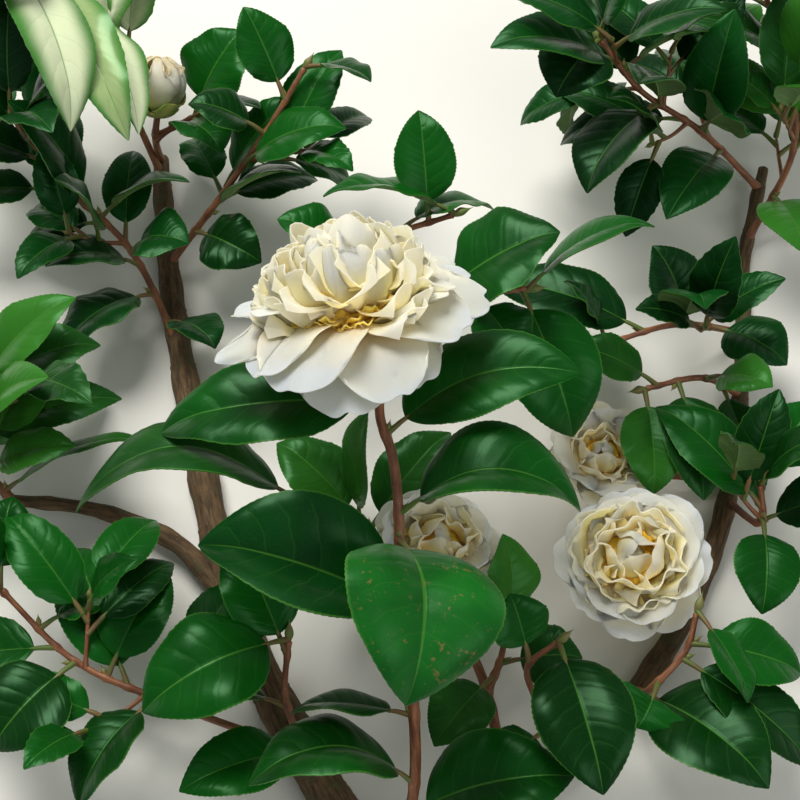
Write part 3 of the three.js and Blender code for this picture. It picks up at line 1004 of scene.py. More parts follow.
SPRAYS = (
    Spray(
        "spray_yellow", ("flower_stem", 0.577), ((-18, -50, 24), (-35, -38, 27)),
        (
            Row(1, (-120, -38, 26), 34, (0, -0.52, 0.85), 0.3),
        ),
        # The fresh green here is partly painted sheen: it stands for the lit lower half of a leaf whose
        # own green is deeper.
        kind=Leafage.FRESH,
    ),
    Spray(
        "spray_behind_bloom", ("bough_middle", 1), ((24, 38, 54), (46, 40, 58)),
        (
            Row(0.3, (57, 62, 36), 45, Face.LEFT, 0.07),
            Row(1, (91, 66, 46), 32, Face.UP),
            Row(0.95, (63, -14, 60), 38, Face.HANGING, 0.12),
            Row(0.55, (44, 14, 44), 26),
        ),
        shoots=2,
    ),
    Spray(
        "spray_top_middle", ("bough_middle", 0.56), ((-12, 55, 94), (20, 67, 88)),
        (
            Row(0.86, (7, 105, 86), 26, Face.HANGING, 0.05),
            Row(1, (-28, 76, 72), 26, Face.UP),
            Row(0.7, (34, 70, 106), 26, Face.UP, 0.15),
            Row(0.45, (-44, 66, 84), 26),
            Row(0.3, (-8, 22, 106), 26),
        ),
        shoots=3,
    ),
    Spray(
        "spray_upper_middle", ("bough_left", 0.84),
        ((-64, 74, 138), (-46, 100, 124), (-34, 120, 118)),
        (
            Row(0.3, (-36, 84, 126), 26, Face.UP),
            Row(0.2, (-50, 50, 130), 28, Face.HANGING, 0.15),
            Row(0.55, (-20, 100, 108), 30, Face.FRONT, 0.12),
            Row(1, (-10, 116, 104), 22, Face.UP, 0.08),
            Row(0.85, (-56, 142, 112), 26, Face.FRONT, 0.05),
            Row(0.7, (-76, 108, 112), 24),
        ),
        shoots=5,
    ),
    Spray(
        "spray_bud", ("stalk_bud", 0.5), ((-82, 98, 155), (-74, 102, 152)),
        (
            Row(1, (-57, 134, 142), 36),
            Row(0.9, (-50, 106, 134), 24, Face.UP),
            Row(0.5, (-64, 90, 126), 28, Face.UP, 0.15),
        ),
    ),
    Spray(
        "spray_hanging", ("bough_left", 0.97),
        ((-108, 128, 148), (-124, 152, 118), (-142, 160, 100)),
        (
            Row(1, (-116, 98, 78), 34, Face.RIGHT, 0.12),
            Row(0.8, (-98, 95, 86), 26, Face.HANGING),
            Row(0.66, (-93, 97, 96), 24, Face.RIGHT),
        ),
        Grown(4, 5), kind=Leafage.SHEEN_PAINTED, shoots=3,
    ),
    Spray(
        "spray_upper_left", ("bough_left", 0.72),
        ((-97, 54, 138), (-122, 79, 136), (-142, 110, 134)),
        (
            Row(0.5, (-76, 80, 122), 24, Face.UP, 0.12),
            Row(0.35, (-76, 57, 118), 30, Face.FRONT, 0.2),
            Row(0.2, (-122, 20, 116), 34, Face.LEFT, 0.12),
            Row(0.1, (-66, 20, 118), 26, Face.UP, 0.12),
            Row(0.3, (-128, 50, 112), 30, Face.LEFT, 0.12),
        ),
        Grown(8, 9), kind=Leafage.DARK, shoots=6,
    ),
    Spray(
        "spray_left", ("bough_low_left", 1), ((-150, -22, 96), (-152, 2, 92)),
        (
            Row(0.1, (-92, -12, 82), 18, Face.UP, 0.08),
            Row(1, (-108, 22, 90), 28, Face.FRONT, 0.12),
            Row(0.6, (-100, 2, 96), 26, Face.FRONT, 0.12),
        ),
        Grown(6, 14), kind=Leafage.FRESH, shoots=5,
    ),
    Spray(
        "spray_red_left", ("bough_left", 0.2), ((-86, -108, 50), (-117, -94, 52), (-144, -68, 56)),
        (
            Row(0.7, (-148, -126, 34), 38, Face.FRONT, 0.12),
            Row(0.45, (-117, -146, 26), 28, Face.LEFT, 0.12),
            Row(0.84, (-104, -72, 60), 20, Face.UP),
            Row(1, (-140, -34, 60), 26),
            Row(0.6, (-84, -60, 66), 28),
        ),
        Grown(3, 18), shoots=4,
    ),
    Spray(
        "spray_low_middle", ("bough_left", 0.15), ((-41, -108, 38), (-40, -86, 32)),
        (
            Row(1, (-94, -112, 16), 42, Face.FRONT, 0.16),
            Row(0.6, (-90, -104, 38), 26, Face.FLAT),
            Row(0.3, (-80, -140, 24), 28, Face.FRONT, 0.12),
            Row(0.9, (-60, -48, 42), 30),
        ),
        shoots=2,
    ),
    Spray(
        "spray_centre", ("stalk_behind", 0.76), ((0, -60, 86), (-14, -44, 92)),
        (
            Row(1, (-13, -4, 60), 22, Face.LEFT, 0.06),
            Row(0.9, (18, -10, 94), 28),
            Row(0.6, (-34, -66, 66), 30, Face.FRONT, 0.12),
            Row(1, (-44, -14, 88), 30),
        ),
        kind=Leafage.FRESH, shoots=3,
    ),
    Spray(
        "spray_centre_low", ("stalk_behind", 0.42), ((36, -94, 64), (38, -84, 62)),
        (
            Row(1, (38, -48, 58), 26, Face.RIGHT),
            Row(0.5, (66, -92, 58), 28),
            Row(0.3, (12, -124, 44), 26),
        ),
        kind=Leafage.FRESH, shoots=2,
    ),
    Spray(
        "spray_low_right", ("bough_right", 0.22), ((49, -108, 44), (46, -96, 36), (57, -87, 32)),
        (
            Row(1, (74, -142, 0), 38, Face.HANGING),
            Row(0.8, (40, -70, 24), 24, Face.FRONT, 0.05),
            Row(0.45, (62, -108, 30), 16, Face.UP),
            Row(0.3, (30, -136, 30), 22),
        ),
        shoots=2,
    ),
    Spray(
        "spray_right_low", ("bough_right", 0.33), ((90, -104, 50), (103, -90, 48), (107, -76, 48)),
        (
            Row(0.25, (134, -138, 18), 40, Face.FRONT, 0.12),
            Row(1, (127, -108, 30), 18, Face.RIGHT, 0.05),
            Row(0.8, (146, -98, 48), 28),
            Row(0.5, (86, -118, 34), 32, Face.HANGING),
            Row(0.7, (150, -132, 40), 26),
        ),
        shoots=4,
    ),
    Spray(
        "spray_right", ("bough_right", 0.57), ((130, -44, 84), (130, -30, 78)),
        (
            Row(0.7, (131, -77, 62), 28, Face.HANGING),
            Row(1, (150, 0, 80), 26),
        ),
        Grown(3, 23), shoots=4,
    ),
    Spray(
        "spray_right_middle", ("bough_right", 0.7), ((108, 8, 108), (88, 4, 100)),
        (
            Row(1, (92, -34, 84), 28, Face.HANGING),
            Row(0.75, (110, -36, 82), 28, Face.HANGING),
            Row(0.5, (134, 6, 84), 24),
            Row(0.9, (62, 20, 96), 22),
            Row(0.3, (130, -36, 88), 20, Face.HANGING, 0.06),
        ),
        kind=Leafage.FRESH, shoots=5,
    ),
    Spray(
        "spray_right_twig", ("bough_right", 0.78), ((98, 27, 118), (74, 20, 110)),
        (
            Row(1, (60, 44, 104), 22, Face.UP),
            Row(0.5, (92, 56, 108), 28),
            Row(0.9, (50, 6, 104), 24),
            Row(0.3, (140, 14, 110), 30),
        ),
        Grown(3, 31), kind=Leafage.DARK, without=(6,), shoots=5,
    ),
    Spray(
        "spray_upper_right", ("bough_right", 0.97),
        ((108, 97, 142), (86, 112, 128), (72, 130, 120)),
        (
            Row(1, (56, 110, 104), 34),
            Row(0.85, (113, 134, 108), 28, Face.UP),
            Row(0.45, (118, 104, 106), 32, Face.RIGHT),
            Row(0.66, (66, 76, 108), 36, Face.LEFT),
            Row(0.3, (96, 66, 118), 30),
        ),
        Grown(6, 36), kind=Leafage.DARK, shoots=6,
    ),
    Spray(
        "spray_far_right", ("bough_right", 0.9), ((142, 92, 142), (138, 126, 134), (130, 150, 128)),
        (
            Row(0.2, (146, 54, 118), 30),
        ),
        Grown(8, 41), kind=Leafage.FRESH, shoots=5,
    ),
)

STEM_LEAVES = {
    "leaf_right": Row(0.828, (65, 11, -2), 37, Face.FRONT, 0.05, -0.13),
    "leaf_left": Row(0.885, (-89, -9, 14), 38, Face.FRONT, 0.08),
    "leaf_arched": Row(0.692, (68, -37, 0), 38, (0, -0.6, 0.8), 0.27, fold=2.1),
    "leaf_front": Row(0.65, (4, -111, -36), 60, (0.36, -0.75, 0.54), 0.26, kind=Leafage.AGED),
    "leaf_low_left": Row(0.535, (-73, -50, 2), 48, Face.FRONT, 0.08, kind=Leafage.DARK, fold=2.8),
    "leaf_foot_left": Row(0.21, (-56, -136, 2), 42, Face.UP, 0.22),
    "leaf_foot_right": Row(0.147, (63, -134, 12), 42, Face.FRONT, 0.14),
    "leaf_foot_edge": Row(0.346, (-40, -110, 26), 24, Face.FLAT, 0.06),
}


def taper(limb_thick: float, limb_thin: float, share: float) -> float:
    """Gives the radius at a share of a limb's length."""
    return limb_thick + (limb_thin - limb_thick) * share


def round_frame(course: Course, share: float) -> tuple[Vector, Vector, Vector]:
    """Gives a limb's point and the two directions across it.

    Args:
        course: The limb's course.
        share: The share of its length.

    Returns:
        The point, and two unit vectors that turn to the right about the course.
    """
    along = course.along(share)
    across = Vector((0.1, 1, 0)).cross(along).normalized()
    return course.at(share), across, along.cross(across)


@dataclass
class Stem:
    """A round limb or twig, with its nodes, ready to be made."""

    course: Course
    thick: float
    thin: float
    nodes: tuple[float, ...] = ()
    step: float = 1.4
    sides: int = 14
    rough: float = 0.03
    seed: float = 0.0
    collar: float = 0.6
    swelling: float = 0.4
    END = 0.75

    def radius(self, share: float) -> float:
        """Gives the smooth radius, with its collar, its nodes and its rounded end."""
        length = self.course.length
        here = share * length
        made = taper(self.thick, self.thin, share)
        made += self.collar * self.thick * math.exp(-here / (1.6 * self.thick))
        for node in self.nodes:
            gap = here - node * length
            made += self.swelling * math.exp(-((gap / (0.9 * self.thick)) ** 2))
            made += 0.35 * self.swelling * math.exp(-(((gap - 0.9 * self.thick) / 0.5) ** 2))
        last = min(1.0, (length - here) / (self.END * self.thin))
        return made * (math.sqrt(max(0.0, 1 - (1 - last) ** 2)) * 0.75 + 0.25)

    def shape(self, finishes: tuple[int, int] = (0, 0)) -> Shape:
        """Makes the stem with the relief of its bark.

        Args:
            finishes: The material indexes of the bark and of the cut ends.

        Returns:
            The closed tube.
        """
        rings = max(6, round(self.course.length / self.step))
        frames = [round_frame(self.course, i / rings) for i in range(rings + 1)]
        radii = [self.radius(i / rings) for i in range(rings + 1)]
        length = self.course.length

        def place(share: float, angle: float) -> Vector:
            """Puts a point of the wall, raised by the bark's ridges and pits."""
            row = round(share * rings)
            point, across, up = frames[row]
            radius = radii[row]
            out = across * math.cos(angle) + up * math.sin(angle)
            spot = Vector((math.cos(angle) * radius, math.sin(angle) * radius, share * length * 0.22))
            spot += Vector((self.seed * 7.1, self.seed * 3.3, 0))
            coarse = noise.noise(spot * 0.16)
            ridges = noise.ridged_multi_fractal(spot * 0.5, 0.8, 2.1, 3, 0.9, 1.6)
            return point + out * (radius * (1 + self.rough * (1.6 * coarse + 0.8 * (ridges - 1))))

        def pattern(share: float, angle: float) -> Place:
            """Gives the place round the limb, twice, and along it, in centimetres."""
            radius = taper(self.thick, self.thin, share) / 10
            return (math.cos(angle) * radius, math.sin(angle) * radius, share * length / 10 + self.seed)

        return Shape.tube(rings, self.sides, place, pattern, finishes)


def hides(mark: Vector, flower: Place, reach: float) -> bool:
    """Tells whether a point lies in a flower, or before it in the view.

    Args:
        mark: The point.
        flower: The flower's place.
        reach: Its radius.

    Returns:
        Whether the point is in the way.
    """
    x, z, depth = flower
    spread = 1 + mark.y / VIEW_DISTANCE
    beside = math.hypot(mark.x / spread - x, mark.z / spread - z)
    return mark.y < depth + 0.7 * reach and beside < reach


def bud_shape(start: Vector, direction: Vector, length: float, radius: float, seed: float) -> Shape:
    """Makes a small pointed leaf bud with the steps of its scales, in the second material.

    Args:
        start: Its foot.
        direction: The way that it points.
        length: Its length.
        radius: Its greatest radius.
        seed: Turns its scales.

    Returns:
        The closed bud.
    """
    axis = direction.normalized()
    across = off(Vector((0.3, 1, 0.2)), axis)
    up = axis.cross(across)

    def place(share: float, angle: float) -> Vector:
        """Puts a point of the bud's wall."""
        girth = 0.42 + 0.58 * math.sin(math.pi * min(1.0, share * 1.25) * 0.8)
        girth *= 1 - smooth(share, 0.35, 1.0) * 0.94
        step = 1 + 0.1 * math.sin(3 * angle + 9 * share + 6 * seed) * (1 - share)
        out = across * math.cos(angle) + up * math.sin(angle)
        return start + axis * (share * length) + out * (radius * girth * step)

    def pattern(share: float, angle: float) -> Place:
        """Gives the share along, the angle and the seed."""
        return (share, math.cos(angle), seed)

    return Shape.tube(12, 10, place, pattern, (1, 1))


@dataclass(frozen=True)
class Detail:
    """How finely a blade is made: teeth on each side, steps for each tooth, and columns across."""

    teeth: int
    steps: int
    columns: int


ON_STEM = Detail(30, 3, 18)
ON_TWIG = Detail(26, 2, 14)
ON_SHOOT = Detail(18, 2, 8)


@dataclass
class Leaf:
    """A leaf with its stalk: its chord from where it springs to its tip, its arch and its sway."""

    origin: Vector
    tip: Vector
    wide: float
    face: Vector
    arch: float
    sway: float = 0.0
    tone: float = 0.5
    seed: float = 0.0
    fold: float = 1.0
    detail: Detail = ON_TWIG
    ROUND_BASE = 0.6
    DRAWN_TIP = 0.85
    QUILT = 0.1
    WAVED = 11.0

    def __post_init__(self) -> None:
        """Works out the leaf's own directions."""
        self.chord = self.tip - self.origin
        self.length = self.chord.length
        self.dir = self.chord.normalized()
        self.up = off(self.face, self.dir)
        self.side = self.dir.cross(self.up)
        self.share = PETIOLE / self.length

    def at(self, t: float) -> Vector:
        """Gives the point of the midrib at a share of the chord."""
        bow = math.sin(math.pi * t) * self.length
        arched = self.origin + self.chord * t + self.up * (self.arch * bow)
        return arched + self.side * (self.sway * bow)

    def frame(self, t: float) -> tuple[Vector, Vector, Vector, Vector]:
        """Gives the midrib's point at a share of the chord, and the directions along, across and up."""
        along = (self.at(min(1.0, t + 0.01)) - self.at(max(0.0, t - 0.01))).normalized()
        rise = off(self.up, along)
        return self.at(t), along, along.cross(rise), rise

    def half(self, along: float) -> float:
        """Gives half the blade's width at a share of the blade's length."""
        widest = self.ROUND_BASE / (self.ROUND_BASE + self.DRAWN_TIP)
        most = widest**self.ROUND_BASE * (1 - widest) ** self.DRAWN_TIP
        return self.wide / 2 * along**self.ROUND_BASE * (1 - along) ** self.DRAWN_TIP / most

    def blade(self, finishes: tuple[int, int]) -> Shape:
        """Makes the blade: folded along its midrib, quilted by its veins, waved and toothed.

        Args:
            finishes: The material indexes of the upper side and of the underside.

        Returns:
            The closed blade.
        """
        teeth, steps = self.detail.teeth, self.detail.steps
        rows = teeth * steps
        frames = [self.frame(self.share + (1 - self.share) * i / rows) for i in range(rows + 1)]
        halves = [self.half(min(0.999, max(0.001, i / rows))) for i in range(rows + 1)]
        waves = 1.2 + 1.6 * chance(self.seed, 1)
        wave = 0.05 + 0.07 * chance(self.seed, 2)
        roll = 0.04 + 0.12 * chance(self.seed, 3)
        droop = 0.03 + 0.05 * chance(self.seed, 4)
        tooth_depth = TOOTH * steps / (steps - 1)
        tau = 2 * math.pi
        starts = [tau * chance(self.seed, 5), tau * chance(self.seed, 6)]
        fold = math.tan(LEAF_FOLD * self.fold)

        def spread(across: float) -> float:
            """Draws the columns closer together towards the midrib."""
            return math.copysign(abs(across) ** 1.35, across)

        def place(row: int, along: float, across: float) -> Vector:
            """Puts a point of the upper side."""
            point, _, sideways, rise = frames[row]
            across = spread(across)
            edge = abs(across)
            half = halves[row]
            window = smooth(along, 0.05, 0.14) * (1 - smooth(along, 0.95, 1.0))
            tooth = (along * teeth) % 1.0
            least = PETIOLE_RADIUS * (1 - along) if along < 0.5 else LEAF_TIP
            reach = max(half, least) * edge
            reach += tooth_depth * (tooth - 0.5 + 0.5 / steps) * window * smooth(edge, 0.75, 1.0)
            lift = half * (fold * edge + 0.05 * math.sin(math.pi * edge) - roll * edge**4)
            start, offset = (starts[0], 0.5) if across > 0 else (starts[1], 0.0)
            waved = math.sin(tau * waves * along + start)
            lift += wave * min(half, self.WAVED) * edge**2 * waved * window
            phase = (along - VEIN_SLANT * edge**VEIN_CURVE) * VEIN_PAIRS + offset
            quilt = math.cos(tau * phase) * min(1.0, edge * 4) * (1 - edge**4) * window
            lift -= self.QUILT * quilt * min(1.0, half / 14)
            drop = droop * self.length * max(0.0, (along - 0.72) / 0.28) ** 2
            return point + sideways * math.copysign(reach, across) + rise * (lift - drop)

        def pattern(along: float, across: float) -> Place:
            """Gives the share along the blade, the place across it and the leaf's tone."""
            return (along, spread(across), self.tone)

        def shift(row: int, along: float, across: float) -> Vector:
            """Draws the midrib out below the underside."""
            half = halves[row]
            rib = math.exp(-((across * half / 1.1) ** 2)) * (1 - along) ** 0.6
            return frames[row][3] * (-0.75 * rib)

        columns = self.detail.columns
        return Shape.sheet(rows, columns, place, pattern, LEAF_THICK, finishes, shift)

    def stalk(self, finish: int) -> Shape:
        """Makes the stalk, which runs a little way under the blade.

        Args:
            finish: Its material index.

        Returns:
            The closed stalk.
        """
        rings = 9
        frames = [self.frame(self.share * 1.35 * i / rings) for i in range(rings + 1)]

        def place(share: float, angle: float) -> Vector:
            """Puts a point of the stalk, thickest at its foot and flattened towards the blade."""
            point, _, sideways, rise = frames[round(share * rings)]
            radius = PETIOLE_RADIUS * (1.25 - 0.5 * share) * (0.35 if share > 0.99 else 1.0)
            sunk = rise * (-0.55 * smooth(share, 0.5, 0.9))
            flat = 1 - 0.25 * share
            wall = point + sunk + sideways * (radius * math.cos(angle))
            return wall - rise * (radius * flat * math.sin(angle))

        def pattern(share: float, angle: float) -> Place:
            """Gives the place round the stalk and along it."""
            return (math.cos(angle) * 0.1, math.sin(angle) * 0.1, share + self.seed)

        return Shape.tube(rings, 10, place, pattern, (finish, finish))

    def shapes(self) -> tuple[Shape, Shape]:
        """Makes the blade and the stalk."""
        return self.blade((0, 1)), self.stalk(2)


class Framework:
    """The courses of the limbs, each springing from another."""

    def __init__(self, limbs: Sequence[Limb]) -> None:
        """Works out the courses.

        Args:
            limbs: The limbs, each after the one that bears it.
        """
        self.courses: dict[str, Course] = {}
        for limb in limbs:
            course = [lying(place) for place in limb.course] if limb.lies else limb.course
            self.courses[limb.name] = self.course_from(limb.on, course)

    def course_from(self, on: tuple[str, float] | None, places: Sequence[Place]) -> Course:
        """Gives the course that springs from a limb and runs through places."""
        root = [self.courses[on[0]].at(on[1])] if on else []
        return Course([*root, *(seen(place) for place in places)])


@dataclass(frozen=True)
class Wall:
    """How finely a limb's wall is made, and how rough its bark is."""

    step: float
    sides: int
    rough: float


@dataclass(frozen=True)
class Woodwork:
    """The boughs and stems, each a mesh with the relief of its bark."""

    old: Wall = Wall(1.0, 44, 0.05)
    young: Wall = Wall(0.9, 20, 0.035)
    cut: PlainFinish = PlainFinish(
        "cut_wood", 0.8, one=colour(0.5, 0.36, 0.2), other=colour(0.36, 0.24, 0.12), scale=300.0
    )
    node_gap: float = 26.0
    stem_nodes: tuple[float, ...] = (
        0.073, 0.147, 0.21, 0.346, 0.44, 0.535, 0.571, 0.65, 0.692, 0.828, 0.89, 0.95
    )

    def nodes_of(self, limb: Limb, length: float) -> tuple[float, ...]:
        """Gives the shares of a limb's length at which it has nodes."""
        if limb.name == "flower_stem":
            return self.stem_nodes
        count = int(length / self.node_gap)
        return tuple((i + 0.6 + 0.5 * chance(length, i)) / (count + 0.6) for i in range(count))

    def build(self, framework: Framework, effects: Effects) -> None:
        """Makes every limb.

        Args:
            framework: The limbs' courses.
            effects: The shared node groups.
        """
        cut = self.cut.material(effects)
        barks = {bark: bark.value.material(effects) for bark in Bark}
        for order, limb in enumerate(LIMBS):
            course = framework.courses[limb.name]
            wall = self.old if limb.bark is Bark.OLD else self.young
            stem = Stem(
                course,
                limb.thick,
                limb.thin,
                nodes=self.nodes_of(limb, course.length),
                step=wall.step,
                sides=wall.sides,
                rough=wall.rough,
                seed=float(order + 1),
                collar=0.4 if limb.on else 0.0,
                swelling=0.1 * limb.thick + 0.06,
            )
            piece = Piece("limb_" + limb.name, (barks[limb.bark], cut))
            piece.take(stem.shape((0, 1)))
            piece.finish("wood", limb.name)


@dataclass(frozen=True)
class Foliage:
    """The twigs and their leaves, each leaf growing on from its limb.

    Attributes:
        underside: The finish of the leaves' undersides.
        stalk: The finish of their stalks.
        shoot_bud: The finish of the leaf buds.
        small: The usual length of a leaf on a finer shoot.
        per_shoot: How many leaves a finer shoot bears before those that don't fit are left out.
        fewest: How many leaves have to fit on a shoot for it to be kept.
        tip_at: The share of a twig's length at which its end bud starts.
        bare_from: The share from which a twig has no buds beside its leaves.
        budded: The share of its other leaves that have a bud.
    """

    underside: UndersideFinish = UndersideFinish("leaf_underside", 0.62)
    stalk: PlainFinish = PlainFinish(
        "leaf_stalk", 0.5, one=colour(0.08, 0.14, 0.02), other=colour(0.15, 0.09, 0.03), scale=120.0
    )
    shoot_bud: PlainFinish = PlainFinish(
        "shoot_bud", 0.5, one=colour(0.11, 0.18, 0.03), other=colour(0.19, 0.14, 0.05), scale=420.0
    )
    small: float = 48.0
    per_shoot: int = 4
    fewest: int = 2
    tip_at: float = 0.985
    bare_from: float = 0.95
    budded: float = 0.7

    def grown_leaves(self, course: Course, grown: Grown, size: float = LEAF_LENGTH) -> list[Leaf]:
        """Gives the leaves that a twig bears by rule, in a spiral along it, facing the light.

        Args:
            course: The twig's course.
            grown: How many leaves it bears, and their seed.
            size: The usual length of a leaf.

        Returns:
            The leaves.
        """
        leaves = []
        for i in range(grown.count):
            at = borne_at(i, grown.count)
            turn = GOLDEN_ANGLE * i + 40 * chance(grown.seed, i)
            lean = 0.5 + 0.6 * chance(grown.seed, i + 10)
            start = course.at(at)
            length = size * (0.75 + 0.4 * chance(grown.seed, i + 20))
            tip = start + leaning_out(course.along(at), turn, lean) * length
            leaves.append(Leaf(start, tip, 0.46 * length, Vector(Face.FRONT.value), 0.1))
        return leaves

    def side_shoots(
        self, spray: Spray, course: Course, order: int
    ) -> list[tuple[Course, list[Leaf]]]:
        """Gives the finer shoots of a twig with their leaves, inside the reach of the spray's solid.

        A shoot on which fewer than two leaves fit is left out, and the others end at their last leaf.

        Args:
            spray: The spray.
            course: The twig's course.
            order: The spray's number, which seeds its shoots.

        Returns:
            Each shoot's course and its leaves.
        """
        low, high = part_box(spray.name)
        lay = to_scene()
        flowers = [(bloom.centre, bloom.reach) for bloom in BLOOMS]
        flowers.append((Bud().at, Bud().reach))

        def fits(leaf: Leaf) -> bool:
            """Tells whether a leaf stays within reach and clear of the blooms."""
            marks = [leaf.at(share) for share in (0.3, 0.5, 0.75, 1.0)]
            if any(hides(mark, *flower) for mark in marks for flower in flowers):
                return False
            laid = [lay @ mark for mark in marks]
            return all(low[i] <= mark[i] <= high[i] for mark in laid for i in range(3))

        made = []
        for i in range(spray.shoots):
            share = 0.2 + 0.75 * (i + 0.5) / spray.shoots
            turn = GOLDEN_ANGLE * i + 360 * chance(order, 500)
            lean = 0.3 + 0.5 * chance(order, i + 510)
            heading = leaning_out(course.along(share), turn, lean)
            reach = 18 + 16 * chance(order, i + 520)
            start = course.at(share)
            middle = start + heading * (0.5 * reach) + Vector((0, 0, 1))
            shoot = Course([start, middle, start + heading * reach + Vector((0, 0, 5))])
            grown = Grown(self.per_shoot, 60 + 9 * order + i)
            leaves = self.grown_leaves(shoot, grown, self.small)
            kept = [number for number, leaf in enumerate(leaves) if fits(leaf)]
            if len(kept) >= self.fewest:
                end = borne_at(kept[-1], len(leaves))
                cut = Course([shoot.at(0.0), shoot.at(0.5 * end), shoot.at(end)])
                made.append((cut, [leaves[number] for number in kept]))
        return made

    def row_leaf(self, course: Course, row: Row) -> Leaf:
        """Gives a leaf that has its own place.

        Args:
            course: The course of the stem or twig that bears it.
            row: The leaf's row.

        Returns:
            The leaf.
        """
        face = Vector(row.face.value if isinstance(row.face, Face) else row.face)
        tip = seen(row.tip)
        return Leaf(course.at(row.at), tip, row.wide, face, row.arch, row.sway, fold=row.fold)

    def leaf_piece(
        self, name: str, node: str, leaves: Sequence[Leaf], kind: Leafage, made: dict
    ) -> None:
        """Joins leaves into one piece.

        Args:
            name: The piece's name.
            node: The solid that it replaces.
            leaves: The leaves.
            kind: Their kind.
            made: The materials of the leafage, the underside and the stalk.
        """
        piece = Piece(name, (made[kind], made["under"], made["stalk"]))
        for leaf in leaves:
            piece.take(*leaf.shapes())
        piece.finish("leaf", node)

    def build(self, framework: Framework, effects: Effects) -> None:
        """Makes every twig and leaf.

        Args:
            framework: The limbs' courses.
            effects: The shared node groups.
        """
        made = {kind: kind.value.material(effects) for kind in Leafage}
        made["under"] = self.underside.material(effects)
        made["stalk"] = self.stalk.material(effects)
        bark = Bark.SHOOT.value.material(effects)
        twigs = Piece("twigs", (bark, self.shoot_bud.material(effects)))
        stem = framework.courses["flower_stem"]
        for order, (name, row) in enumerate(STEM_LEAVES.items()):
            leaf = self.row_leaf(stem, row)
            leaf.seed = 100 + order
            leaf.detail = ON_STEM
            self.leaf_piece("blade_" + name, name, [leaf], row.kind, made)
            twigs.take(self.axil_bud(stem, row.at, leaf))
        for order, spray in enumerate(SPRAYS):
            course = framework.course_from(spray.on, spray.course)
            leaves = [self.row_leaf(course, row) for row in spray.rows]
            shares = [row.at for row in spray.rows]
            if spray.grown:
                count = spray.grown.count
                leaves += self.grown_leaves(course, spray.grown)
                shares += [borne_at(i, count) for i in range(count)]
            kept = [i for i in range(len(leaves)) if i not in spray.without]
            for i in kept:
                leaves[i].seed = 10.0 * order + i
                leaves[i].tone = chance(order, i + 300)
            borne = [leaves[i] for i in kept]
            for number, (shoot, finer) in enumerate(self.side_shoots(spray, course, order)):
                for i, leaf in enumerate(finer):
                    leaf.seed = 400.0 + 10 * order + 3 * number + i
                    leaf.tone = chance(order, 600 + 4 * number + i)
                    leaf.detail = ON_SHOOT
                borne += finer
                fine = Stem(shoot, 1.0, 0.7, seed=40.0 + order + number, step=2.0, sides=8)
                twigs.take(fine.shape())
                twigs.take(bud_shape(shoot.at(0.97), shoot.along(1.0), 5.0, 1.2, order))
            name = "leaves_" + spray.name.removeprefix("spray_")
            self.leaf_piece(name, spray.name, borne, spray.kind, made)
            nodes = tuple(min(self.tip_at, shares[i]) for i in kept)
            twig = Stem(course, TWIG_THICK, TWIG_THIN, nodes, seed=20.0 + order, collar=0.8)
            twigs.take(twig.shape())
            twigs.take(bud_shape(course.at(self.tip_at), course.along(1.0), 9.0, 1.9, order))
            for i in kept:
                if shares[i] < self.bare_from and chance(order, i + 400) < self.budded:
                    twigs.take(self.axil_bud(course, shares[i], leaves[i]))
        twigs.finish("wood")

    def axil_bud(self, course: Course, share: float, leaf: Leaf) -> Shape:
        """Makes the small bud between a stem and a leaf's stalk.

        Args:
            course: The stem's course.
            share: Where the leaf springs from it.
            leaf: The leaf.

        Returns:
            The bud.
        """
        ahead = course.along(share)
        out = off(leaf.dir, ahead)
        start = course.at(min(1.0, share + 0.8 / course.length)) + out * 0.9
        return bud_shape(start, ahead + out * 0.75, 5.0, 1.15, share * 9)


